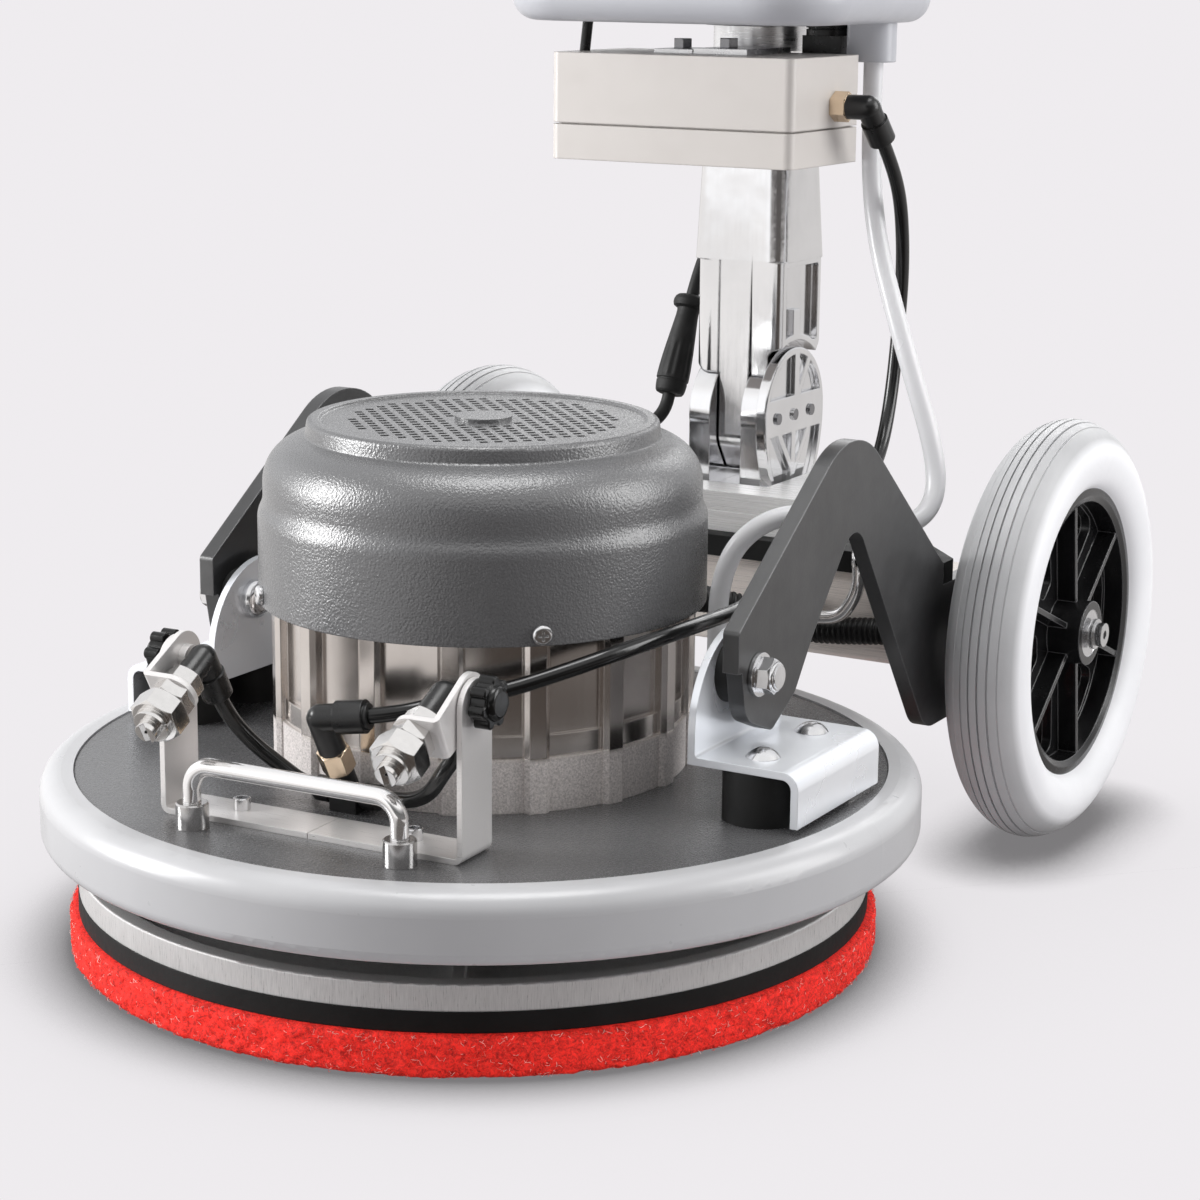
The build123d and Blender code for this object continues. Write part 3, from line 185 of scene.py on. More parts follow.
def bump(nt, b, height, distance, strength=1.0, soft=0.0):
    """Bump on the shader; soft is the radius of a rounded edge under it, in metres."""
    n = put(nt, "ShaderNodeBump", Height=height, Distance=distance, Strength=strength)
    if soft:
        e = put(nt, "ShaderNodeBevel", {"samples": 4}, Radius=soft)
        nt.links.new(e.outputs[0], n.inputs["Normal"])
    nt.links.new(n.outputs[0], b.inputs["Normal"])
    return n


def edge_mask(nt, radius, gain=6.0):
    """Near 1 along sharp edges, 0 on flat faces."""
    e = put(nt, "ShaderNodeBevel", {"samples": 4}, Radius=radius)
    g = put(nt, "ShaderNodeNewGeometry")
    d = nt.nodes.new("ShaderNodeVectorMath")
    d.operation = "DOT_PRODUCT"
    nt.links.new(e.outputs[0], d.inputs[0])
    nt.links.new(g.outputs["Normal"], d.inputs[1])
    return math2(nt, "MULTIPLY", math2(nt, "SUBTRACT", 1.0, d.outputs["Value"]), gain, True)


def axis_of(nt, which):
    t = put(nt, "ShaderNodeTexCoord")
    s = put(nt, "ShaderNodeSeparateXYZ", Vector=t.outputs["Object"])
    return s.outputs[which]


def band(nt, value, lo, hi):
    """1 where lo < value < hi."""
    a = math2(nt, "GREATER_THAN", value, lo)
    c = math2(nt, "LESS_THAN", value, hi)
    return math2(nt, "MULTIPLY", a, c)


def link(nt, out, b, name):
    nt.links.new(out, b.inputs[name])


# ------------------------------------------------------------------ materials
def mat_wrinkle(name, base, rough, spec, depth):
    m, nt, b = fresh(name, (base, base, base * 1.03), rough, Specular_IOR_Level=spec)
    fine = grain(nt, 980, 2.0, 0.5, distort=0.35)
    cell = put(nt, "ShaderNodeTexVoronoi", {"feature": "SMOOTH_F1"}, Vector=coords(nt), Scale=740.0, Smoothness=0.6).outputs["Distance"]
    h = math2(nt, "ADD", fine, math2(nt, "MULTIPLY", cell, 0.75))
    bump(nt, b, h, depth, 0.75, 0.0007)
    lo, hi = base * 0.92, base * 1.08
    link(nt, ramp(nt, grain(nt, 9, 3), 0.3, 0.72, (lo, lo, lo * 1.03), (hi, hi, hi * 1.03)), b, "Base Color")
    link(nt, ramp(nt, fine, 0.3, 0.7, rough - 0.06, rough + 0.08), b, "Roughness")
    return m


def mat_rubber_pale():
    m, nt, b = fresh("bumper_rubber", (0.42, 0.42, 0.43), 0.32, Specular_IOR_Level=0.6)
    link(nt, ramp(nt, grain(nt, 14, 4), 0.3, 0.7, (0.41, 0.41, 0.42), (0.44, 0.44, 0.45)), b, "Base Color")
    link(nt, ramp(nt, grain(nt, 60, 3), 0.3, 0.7, 0.27, 0.38), b, "Roughness")
    bump(nt, b, grain(nt, 900, 2), 0.00005, 0.4)
    return m


def mat_pad(name="pad_fibre", dark=(0.22, 0.003, 0.002), light=(0.98, 0.028, 0.018)):
    m, nt, b = fresh(name, (0.9, 0.02, 0.012), 0.72, Specular_IOR_Level=0.25)
    a = grain(nt, 210, 5, 0.75, (1, 1, 1.5), 1.4)
    c = grain(nt, 900, 3, 0.7, (1, 1, 0.6), 0.8)
    f = math2(nt, "ADD", math2(nt, "MULTIPLY", a, 0.6), math2(nt, "MULTIPLY", c, 0.4))
    # The colour follows the bump height: random tone of the fibre, and painted shade darkening the hollows between
    # fibres.
    link(nt, ramp(nt, f, 0.36, 0.56, dark, light), b, "Base Color")
    link(nt, ramp(nt, c, 0.3, 0.7, 0.6, 0.85), b, "Roughness")
    bump(nt, b, f, 0.0016, 0.7)
    return m


def mat_black_plastic(name, base=0.018, rough=0.42, tooth=700, depth=0.00008, soft=0.0005, spec=0.42):
    m, nt, b = fresh(name, (base, base, base * 1.05), rough, Specular_IOR_Level=spec)
    link(nt, ramp(nt, grain(nt, 40, 4), 0.3, 0.7, (base * 0.85,) * 3, (base * 1.35,) * 3), b, "Base Color")
    link(nt, ramp(nt, grain(nt, 120, 3), 0.3, 0.7, rough - 0.07, rough + 0.08), b, "Roughness")
    bump(nt, b, grain(nt, tooth, 2), depth, 0.6, soft)
    return m


def mat_metal(name, color, rough, streak=(1, 1, 1), scale=300.0, depth=0.00003, vary=0.06, soft=0.0006, blotch=12.0, metal=1.0, tone=0.10):
    m, nt, b = fresh(name, color, rough, metal)
    lines = grain(nt, scale, 3, 0.6, streak)
    dark = tuple(c * (1 - tone) for c in color)
    lite = tuple(min(1, c * (1 + 0.6 * tone)) for c in color)
    cloud = grain(nt, blotch, 4)
    link(nt, ramp(nt, math2(nt, "ADD", math2(nt, "MULTIPLY", lines, 0.6), math2(nt, "MULTIPLY", cloud, 0.4)), 0.33, 0.67, dark, lite), b, "Base Color")
    link(nt, ramp(nt, lines, 0.3, 0.7, max(0.02, rough - vary), rough + vary), b, "Roughness")
    bump(nt, b, lines, depth, 0.5, soft)
    return m


def mat_cast_frame():
    """Motor frame: rough sand-cast below the ledge, machined above it."""
    m, nt, b = fresh("cast_frame", (0.60, 0.565, 0.54), 0.3, 1.0)
    z = axis_of(nt, 2)
    low = ramp(nt, z, 0.1225, 0.1255, 1.0, 0.0)
    sand = grain(nt, 900, 4, 0.7)
    fine = grain(nt, 240, 3, 0.6, (1, 1, 0.05))
    cloud = grain(nt, 16, 4)
    smooth_col = ramp(nt, cloud, 0.3, 0.7, (0.60, 0.555, 0.525), (0.73, 0.69, 0.66))
    rough_col = ramp(nt, sand, 0.32, 0.66, (0.50, 0.465, 0.45), (0.94, 0.885, 0.865))
    link(nt, mixc(nt, low, smooth_col, rough_col), b, "Base Color")
    link(nt, ramp(nt, low, 0.0, 1.0, 1.0, 0.4), b, "Metallic")
    link(nt, mixf(nt, low, ramp(nt, fine, 0.3, 0.7, 0.185, 0.215), 0.58), b, "Roughness")
    h = math2(nt, "ADD", math2(nt, "MULTIPLY", math2(nt, "MULTIPLY", sand, low), 1.0), math2(nt, "MULTIPLY", fine, 0.004))
    bump(nt, b, h, 0.0007, 0.7, 0.0008)
    return m


def mat_polished():
    """Polished casting with soft hollows and fine sanding marks."""
    m, nt, b = fresh("polished_casting", (0.79, 0.79, 0.80), 0.12, 1.0)
    hollow = grain(nt, 34, 2, 0.4)
    marks = grain(nt, 420, 3, 0.6, (1, 1, 0.06))
    link(nt, ramp(nt, grain(nt, 20, 4), 0.3, 0.7, (0.74, 0.74, 0.75), (0.84, 0.84, 0.85)), b, "Base Color")
    link(nt, ramp(nt, marks, 0.3, 0.7, 0.07, 0.15), b, "Roughness")
    h = math2(nt, "ADD", hollow, math2(nt, "MULTIPLY", marks, 0.03))
    bump(nt, b, h, 0.0008, 0.3, 0.0012)
    return m


def mat_zinc():
    m, nt, b = fresh("bright_zinc", (0.84, 0.86, 0.89), 0.20, 0.54)
    cloud = grain(nt, 16, 4, 0.55)
    fine = grain(nt, 240, 3, 0.6)
    link(nt, ramp(nt, cloud, 0.3, 0.7, (0.87, 0.895, 0.94), (0.94, 0.955, 0.985)), b, "Base Color")
    link(nt, ramp(nt, cloud, 0.3, 0.7, 0.22, 0.30), b, "Roughness")
    bump(nt, b, fine, 0.000012, 0.4, 0.0006)
    return m


def mat_black_paint():
    """Black coat, with a painted highlight lightening it along the cut edges of the plates."""
    m, nt, b = fresh("black_powder_coat", (0.016, 0.016, 0.0165), 0.36, Specular_IOR_Level=0.85)
    peel = grain(nt, 520, 2, 0.5)
    coat = ramp(nt, grain(nt, 22, 4), 0.3, 0.7, (0.013, 0.013, 0.0135), (0.020, 0.020, 0.021))
    # Painted highlight: the cut edges are mixed to pale grey, standing in for light caught on them.
    link(nt, mixc(nt, edge_mask(nt, 0.0011, 3.0), coat, (0.16, 0.16, 0.165)), b, "Base Color")
    link(nt, ramp(nt, grain(nt, 70, 3), 0.3, 0.7, 0.30, 0.42), b, "Roughness")
    bump(nt, b, peel, 0.00008, 0.6, 0.0009)
    return m


def wheel_radius(nt):
    y = math2(nt, "SUBTRACT", axis_of(nt, 1), 0.321)
    z = math2(nt, "SUBTRACT", axis_of(nt, 2), 0.125)
    return math2(nt, "SQRT", math2(nt, "ADD", math2(nt, "MULTIPLY", y, y), math2(nt, "MULTIPLY", z, z)), 0.0)


def mat_tyre():
    """Pale rubber, duller and darker on the tread."""
    m, nt, b = fresh("grey_tyre", (0.60, 0.60, 0.615), 0.45)
    cloud = grain(nt, 18, 4)
    side = ramp(nt, cloud, 0.3, 0.7, (0.68, 0.683, 0.70), (0.73, 0.733, 0.75))
    tread = ramp(nt, cloud, 0.3, 0.7, (0.37, 0.372, 0.38), (0.44, 0.442, 0.45))
    link(nt, mixc(nt, ramp(nt, wheel_radius(nt), 0.1105, 0.1155, 0.0, 1.0), side, tread), b, "Base Color")
    link(nt, ramp(nt, grain(nt, 160, 3), 0.3, 0.7, 0.40, 0.54), b, "Roughness")
    b.inputs["Subsurface Weight"].default_value = 0.06
    b.inputs["Subsurface Radius"].default_value = (0.004, 0.004, 0.004)
    bump(nt, b, grain(nt, 600, 3), 0.00010, 0.5)
    return m


def mat_rim():
    """Glossy black moulding with a painted highlight in pale grey along its edges, and steel bearings in the hub."""
    m, nt, b = fresh("rim_and_bearing", (0.006, 0.006, 0.0065), 0.24, Specular_IOR_Level=0.5)
    hub = math2(nt, "LESS_THAN", wheel_radius(nt), 0.01405)
    cloud = grain(nt, 60, 3)
    shell = ramp(nt, cloud, 0.3, 0.7, (0.005, 0.005, 0.0055), (0.008, 0.008, 0.0085))
    # Painted highlight: the edges of the moulding are mixed to pale grey.
    shell = mixc(nt, edge_mask(nt, 0.0012, 3.0), shell, (0.20, 0.20, 0.205))
    race = ramp(nt, cloud, 0.3, 0.7, (0.58, 0.58, 0.59), (0.70, 0.70, 0.71))
    link(nt, mixc(nt, hub, shell, race), b, "Base Color")
    nt.links.new(hub, b.inputs["Metallic"])
    link(nt, ramp(nt, cloud, 0.3, 0.7, 0.20, 0.28), b, "Roughness")
    bump(nt, b, grain(nt, 420, 2), 0.00005, 0.5, 0.0011)
    return m


def mat_plastic(name, c0, c1, rough=0.34, soft=0.0012, sss=0.0):
    m, nt, b = fresh(name, c1, rough)
    link(nt, ramp(nt, grain(nt, 7, 4), 0.3, 0.7, c0, c1), b, "Base Color")
    link(nt, ramp(nt, grain(nt, 90, 3), 0.3, 0.7, rough - 0.06, rough + 0.08), b, "Roughness")
    if sss:
        b.inputs["Subsurface Weight"].default_value = sss
        b.inputs["Subsurface Radius"].default_value = (0.006, 0.006, 0.006)
    bump(nt, b, grain(nt, 500, 2), 0.00005, 0.5, soft)
    return m


def mat_hose():
    """Milky clear tube."""
    m, nt, b = fresh("milky_hose", (0.70, 0.70, 0.715), 0.24, IOR=1.40)
    b.inputs["Transmission Weight"].default_value = 0.12
    b.inputs["Subsurface Weight"].default_value = 0.25
    b.inputs["Subsurface Radius"].default_value = (0.005, 0.005, 0.005)
    link(nt, ramp(nt, grain(nt, 5, 2), 0.3, 0.7, (0.68, 0.68, 0.695), (0.72, 0.72, 0.735)), b, "Base Color")
    link(nt, ramp(nt, grain(nt, 30, 2), 0.3, 0.7, 0.20, 0.28), b, "Roughness")
    return m


M = {
    "wrinkle": mat_wrinkle("grey_wrinkle_paint", 0.086, 0.235, 0.72, 0.00020),
    "cover": mat_wrinkle("grey_cover_paint", 0.104, 0.27, 0.85, 0.00029),
    "bumper": mat_rubber_pale(),
    "pad": mat_pad(),
    "pad_strand": mat_pad("pad_strands", (0.85, 0.016, 0.010), (1.0, 0.11, 0.075)),
    # Pale strands: painted glints on the fibres.
    "pad_painted_glint": mat_pad("pad_painted_glints", (1.0, 0.42, 0.36), (1.0, 0.80, 0.74)),
    "holder": mat_black_plastic("holder_plastic", 0.007, 0.62, 320, 0.00020, 0.0005, 0.25),
    "drive": mat_metal("drive_steel", (0.86, 0.85, 0.845), 0.34, (2.6, 2.6, 0.09), 1300, 0.00002, 0.08, metal=0.55, tone=0.22),
    "machined": mat_metal("machined_steel", (0.62, 0.62, 0.625), 0.24, (14, 1, 1), 120, 0.00004),
    "bolt": mat_metal("bright_bolt", (0.80, 0.80, 0.81), 0.16, (1, 1, 1), 60, 0.00002, 0.03, 0.0005, 30.0),
    "lamination": mat_metal("laminations", (0.20, 0.20, 0.21), 0.45, (1, 1, 30), 100, 0.00020),
    "fan": mat_black_plastic("fan_plastic", 0.03, 0.5),
    "frame": mat_cast_frame(),
    "polished": mat_polished(),
    "chrome": mat_metal("chrome_plate", (0.91, 0.90, 0.90), 0.06, (1, 1, 1), 40, 0.00001, 0.02, metal=0.86, tone=0.05),
    "sleeve": mat_metal("turned_sleeve", (0.86, 0.86, 0.87), 0.30, (1, 1, 20), 60, 0.00003, 0.06),
    "plate": mat_metal("pressed_plate", (0.78, 0.78, 0.79), 0.26, (1, 1, 1), 90, 0.00002, 0.05),
    "stainless": mat_metal("stainless_strip", (0.82, 0.80, 0.79), 0.30, (0.5, 60, 60), 80, 0.000006, 0.03, metal=0.58, tone=0.03),
    "beam": mat_metal("stainless_beam", (0.90, 0.83, 0.78), 0.28, (0.3, 60, 60), 60, 0.000005, 0.03, metal=0.25, tone=0.02),
    "zinc": mat_zinc(),
    "black_rubber": mat_black_plastic("black_rubber", 0.007, 0.58, 500, 0.00010, 0.0005, 0.35),
    "black_fitting": mat_black_plastic("black_fitting", 0.007, 0.30, 600, 0.00005, 0.0006),
    "knob": mat_black_plastic("knob_plastic", 0.004, 0.17, 600, 0.00003, 0.0006, 0.36),
    "black_paint": mat_black_paint(),
    "matte_black": mat_black_plastic("plate_black", 0.008, 0.62, 500, 0.00008, 0.0008, 0.18),
    "tyre": mat_tyre(),
    "rim_hub": mat_rim(),
    "cream": mat_plastic("cream_plastic", (0.525, 0.495, 0.47), (0.565, 0.535, 0.51), 0.36),
    "tank": mat_plastic("tank_plastic", (0.405, 0.412, 0.44), (0.44, 0.447, 0.475), 0.34, 0.0, 0.1),
    "hose": mat_hose(),
    "black_tube": mat_black_plastic("black_tube", 0.005, 0.18, 500, 0.00002, 0.0, 0.5),
    "conduit": mat_black_plastic("conduit_plastic", 0.008, 0.36, 500, 0.00005, 0.0),
    "head": mat_black_plastic("head_plastic", 0.025, 0.48, 520, 0.00018, 0.001),
    "grip": mat_black_plastic("grip_rubber", 0.015, 0.66, 300, 0.00035, 0.001),
    "button": mat_plastic("button_plastic", (0.62, 0.40, 0.02), (0.70, 0.47, 0.03), 0.34),
    "nickel": mat_metal("nickel_plate", (0.80, 0.785, 0.77), 0.13, (1, 1, 1), 260, 0.00002, 0.04, 0.0006, tone=0.06),
    "boss": mat_metal("boss_steel", (0.60, 0.59, 0.585), 0.20, (1, 1, 1), 200, 0.000005, 0.03, 0.0006, tone=0.04),
    "base": mat_metal("milled_plate", (0.90, 0.895, 0.89), 0.28, (0.3, 60, 60), 60, 0.000005, 0.03, metal=0.35, tone=0.02),
    "dark_bolt": mat_metal("dark_bolt", (0.25, 0.25, 0.26), 0.24, (1, 1, 1), 60, 0.00002, 0.04, 0.0005, 30.0),
}


def mat_two(name, mask_of, a, b_, rough_a, rough_b, metal_a, metal_b):
    """One material in two zones of a piece; mask_of gives 1 in the second zone."""
    m, nt, b = fresh(name, a, rough_a)
    k = mask_of(nt)
    cloud = grain(nt, 60, 3)
    ca = ramp(nt, cloud, 0.3, 0.7, tuple(c * 0.88 for c in a), tuple(min(1, c * 1.1) for c in a))
    cb = ramp(nt, cloud, 0.3, 0.7, tuple(c * 0.88 for c in b_), tuple(min(1, c * 1.1) for c in b_))
    link(nt, mixc(nt, k, ca, cb), b, "Base Color")
    link(nt, mixf(nt, k, metal_a, metal_b), b, "Metallic")
    link(nt, mixf(nt, k, ramp(nt, cloud, 0.3, 0.7, rough_a - 0.05, rough_a + 0.05), ramp(nt, cloud, 0.3, 0.7, rough_b - 0.04, rough_b + 0.05)), b, "Roughness")
    bump(nt, b, grain(nt, 500, 2), 0.00005, 0.5, 0.0006)
    return m


def branch_zone(nt):
    """The nut on the tee's leaning branch, by the distance along the branch."""
    y = math2(nt, "MULTIPLY", math2(nt, "ADD", axis_of(nt, 1), 0.120), -0.46947)
    z = math2(nt, "MULTIPLY", math2(nt, "SUBTRACT", axis_of(nt, 2), 0.1055), 0.88295)
    return band(nt, math2(nt, "ADD", y, z), 0.01645, 0.02955)


black, brassy = (0.007, 0.007, 0.0073), (0.80, 0.64, 0.47)
M["box_elbow"] = mat_two("box_fitting", lambda nt: band(nt, axis_of(nt, 0), 0.0, 0.0871), black, brassy, 0.30, 0.18, 0.0, 1.0)
M["manifold"] = mat_two("tee_fitting", branch_zone, black, brassy, 0.30, 0.18, 0.0, 1.0)

finish_of = {
    "scrub_pad": "pad", "pad_holder": "holder", "drive_plate": "drive", "drive_bearing": "machined",
    "motor_shaft": "machined", "rotor_core": "lamination", "cooling_fan": "fan", "eccentric_hub": "machined",
    "deck_plate": "wrinkle", "bumper_ring": "bumper", "motor_frame": "frame", "stator": "lamination", "motor_cover": "cover",
    "shaft_bearings": "machined", "lift_handle": "chrome", "nozzle_bracket": "stainless", "spray_manifold": "manifold",
    "pivot_brackets": "zinc", "rubber_buffers": "black_rubber", "pivot_spacers": "black_rubber", "pivot_bolts": "bolt",
    "deck_screws": "bolt", "deck_fittings": "black_fitting",
    "nozzle_arm_left": "stainless", "nozzle_arm_right": "stainless", "spray_nozzle_left": "nickel", "spray_nozzle_right": "nickel",
    "nozzle_elbow_left": "black_fitting", "nozzle_elbow_right": "black_fitting", "clamp_knob_left": "knob", "clamp_knob_right": "knob",
    "side_plates": "black_paint", "cross_plate": "matte_black", "axle_beam": "beam", "axle": "machined", "base_plates": "base",
    "knuckle_clevis": "polished", "knuckle_pin": "machined", "hose_guide": "chrome",
    "tyre_left": "tyre", "tyre_right": "tyre", "rim_left": "rim_hub", "rim_right": "rim_hub",
    "handle_casting": "polished", "handle_tube": "chrome", "control_box": "cream", "box_elbow": "box_elbow",
    "tank": "tank", "valve_block": "tank", "handle_head": "head", "hand_grips": "grip", "tank_cap": "head",
    "switch_lever": "head", "lock_button": "button",
    "feed_tube": "black_tube", "spray_tubes": "black_tube", "solution_hose": "hose", "motor_cable": "black_rubber",
    "cable_connector": "black_rubber", "conduit": "conduit",
}
for name, ob in nodes.items():
    ob.data.materials.clear()
    ob.data.materials.append(M[finish_of[name]])


def finish_tube_set():
    """Sleeve, dark ring and block, plates, bolts and wire of the tube's node, told apart by where their faces lie."""
    ob = nodes["handle_tube"]
    for key in ("black_fitting", "sleeve", "plate", "dark_bolt"):
        ob.data.materials.append(M[key])
    for p in ob.data.polygons:
        c = ob.matrix_world @ p.center
        away = math.hypot(c.x, c.y - 0.312)
        if c.x < -0.06 or (c.z > 0.4725 and c.z < 0.4765 and away > 0.0256) or (c.x > 0.0361 and c.z < 0.48):
            p.material_index = 1
        elif 0.4608 < c.z < 0.472 and abs(c.y - 0.240) < 0.007 and abs(abs(c.x) - 0.015) < 0.007:
            p.material_index = 4
        elif 0.457 < c.z < 0.4727 and 0.0245 < away < 0.034 and c.y > 0.2815:
            p.material_index = 2
        elif 0.457 < c.z < 0.4727 and c.y < 0.2815:
            p.material_index = 3


finish_tube_set()


def finish_index_studs():
    """The two index studs and the pin's end on the outer cheek are dark."""
    for name in ("knuckle_clevis", "knuckle_pin"):
        ob = nodes[name]
        ob.data.materials.append(M["dark_bolt"])
        for p in ob.data.polygons:
            c = ob.matrix_world @ p.center
            if c.x > 0.0310 and abs(c.z - 0.241) < 0.0042 and min(abs(c.y - 0.2824), abs(c.y - 0.3276), abs(c.y - 0.305)) < 0.0042:
                p.material_index = 1


finish_index_studs()


def finish_bosses():
    """The lift handle stands in turned steel bosses, duller than its chromed rod."""
    ob = nodes["lift_handle"]
    ob.data.materials.append(M["boss"])
    for p in ob.data.polygons:
        c = ob.matrix_world @ p.center
        if c.z < 0.1098:
            p.material_index = 1


finish_bosses()


# ------------------------------------------------------------------ mesh helpers
def add(name, verts, faces, mat, smooth=True):
    me = bpy.data.meshes.new(name)
    me.from_pydata(verts, [], faces)
    me.validate()
    me.update()
    if smooth:
        me.polygons.foreach_set("use_smooth", [True] * len(me.polygons))
    ob = bpy.data.objects.new(name, me)
    scene.collection.objects.link(ob)
    me.materials.append(M[mat] if isinstance(mat, str) else mat)
    return ob


def line_of(points_mm):
    """Points read from the route's own NURBS spline, in metres."""
    cu = bpy.data.curves.new("route", "CURVE")
    cu.dimensions = "3D"
    sp = cu.splines.new("NURBS")
    sp.points.add(len(points_mm) - 1)
    for p, q in zip(sp.points, points_mm):
        p.co = (q[0] / 1000, q[1] / 1000, q[2] / 1000, 1)
    sp.order_u = 3
    sp.use_endpoint_u = True
    cu.resolution_u = 14
    ob = bpy.data.objects.new("route", cu)
    scene.collection.objects.link(ob)
    bpy.context.view_layer.update()
    me = bpy.data.meshes.new_from_object(ob.evaluated_get(bpy.context.evaluated_depsgraph_get()))
    pts = [v.co.copy() for v in me.vertices]
    bpy.data.objects.remove(ob)
    bpy.data.meshes.remove(me)
    out = [pts[0]]
    for p in pts[1:]:
        if (p - out[-1]).length > 1e-6:
            out.append(p)
    return out


def span(pts):
    return sum((b - a).length for a, b in zip(pts, pts[1:]))


def even(pts, step):
    """The same line with points at even steps along it."""
    total = span(pts)
    n = max(2, round(total / step))
    out, i, gone = [pts[0].copy()], 0, 0.0
    for k in range(1, n):
        want = total * k / n
        while gone + (pts[i + 1] - pts[i]).length < want:
            gone += (pts[i + 1] - pts[i]).length
            i += 1
        seg = pts[i + 1] - pts[i]
        out.append(pts[i] + seg * ((want - gone) / seg.length))
    out.append(pts[-1].copy())
    return out


def frames(pts):
    """A tangent and two normals at each point, turned as little as possible along the line."""
    out = []
    t0 = (pts[1] - pts[0]).normalized()
    n = t0.orthogonal().normalized()
    for i, p in enumerate(pts):
        t = (pts[min(i + 1, len(pts) - 1)] - pts[max(i - 1, 0)]).normalized()
        n = (n - t * n.dot(t)).normalized()
        out.append((t, n, t.cross(n)))
    return out


def tube(name, pts, radius, mat, sides=24):
    """Closed round tube along points; radius is a number or a function of the distance along it."""
    verts, faces, gone = [], [], 0.0
    fr = frames(pts)
    for i, (p, (t, n, b)) in enumerate(zip(pts, fr)):
        if i:
            gone += (p - pts[i - 1]).length
        r = radius(gone) if callable(radius) else radius
        for k in range(sides):
            a = 2 * math.pi * k / sides
            verts.append(p + n * (r * math.cos(a)) + b * (r * math.sin(a)))
    for i in range(len(pts) - 1):
        for k in range(sides):
            j = (k + 1) % sides
            faces.append((i * sides + k, i * sides + j, (i + 1) * sides + j, (i + 1) * sides + k))
    faces.append(tuple(range(sides - 1, -1, -1)))
    faces.append(tuple((len(pts) - 1) * sides + k for k in range(sides)))
    return add(name, verts, faces, mat)


# ------------------------------------------------------------------ hoses, tubes and cables
feed_route = [
    (11.29, -140.00, 151.38), (31.57, -135.20, 153.93), (52, -119, 159.5), (74.5, -98, 164), (95.5, -79, 172), (113, -52, 179),
    (123, -14, 182), (121, 32, 179.5), (114.5, 80, 175.5), (113.5, 132, 183), (112.5, 180, 199), (111, 219, 215), (106, 256, 219),
    (101, 282, 233), (98.5, 298, 262), (99, 303, 298), (101, 302.5, 334), (102, 296, 366), (103.2, 285, 386), (102.1, 270.19, 405.85),
    (100.7, 261.53, 416.76),
]
hose_route = [
    (79, 300, 462), (79, 300, 425), (82, 295, 388), (91.6, 285, 351), (108.6, 276, 311), (124.5, 271, 273), (137, 268.5, 242),
    (143.3, 265.5, 219), (143.6, 258.5, 203.5), (137.5, 247.5, 194.5), (125.5, 235, 192.5), (108, 220.5, 196.5), (90.5, 207.5, 202),
    (75, 197.5, 200.5), (61.5, 189.5, 192), (51.5, 183.5, 178), (46.2, 180.6, 156), (46, 180, 130), (46, 180, 107.7),
]
cable_route = [
    (-13, 336, 428), (-25, 357.5, 412), (-33, 364, 378), (-43, 346, 350), (-47.85, 325.4, 322.3), (-50.19, 296.7, 252), (-50.69, 290.6, 237.2),
    (-55.76, 277.9, 229.1), (-63.2, 263.9, 230.9), (-70, 244, 228), (-76, 214, 219), (-70, 168, 195), (-63.56, 124.74, 166), (-55.39, 108.7, 166),
]
conduit_route = [(12.75, 121.33, 152), (16.93, 161.11, 152), (33, 205, 146), (66, 224, 129.5), (100, 226.4, 129.5), (155.2, 226, 137.5)]
left_route = [(-61.45, -151.94, 159.96), (-61.81, -143.09, 144.29), (-54, -131, 126), (-41, -122.5, 113), (-29.2, -120, 105.5), (-14.2, -120, 105.5)]
right_route = [(73.31, -143.24, 157.79), (73.02, -135.98, 143.53), (63, -136, 130), (50, -129, 114.5), (27.8, -120, 105.5), (7.8, -120, 105.5)]


def split_near(pts, p_mm):
    p = Vector(p_mm) / 1000
    k = min(range(len(pts)), key=lambda i: (pts[i] - p).length)
    return pts[: k + 1], pts[k:]


def declare(node):
    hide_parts(node)


feed_low, feed_high = split_near(even(line_of(feed_route), 0.003), (106, 252, 218))
ob = tube("feed_tube_lower", feed_low, 0.004, "black_tube")
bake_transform(ob)
declare("feed_tube")
ob = tube("feed_tube_upper", feed_high, 0.004, "black_tube")
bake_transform(ob)
declare("feed_tube")

hose_high, hose_low = split_near(even(line_of(hose_route), 0.003), (131, 241, 193.5))
ob = tube("solution_hose_upper", hose_high, 0.0058, "hose", 28)
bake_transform(ob)
declare("solution_hose")
ob = tube("solution_hose_lower", hose_low, 0.0058, "hose", 28)
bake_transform(ob)
declare("solution_hose")

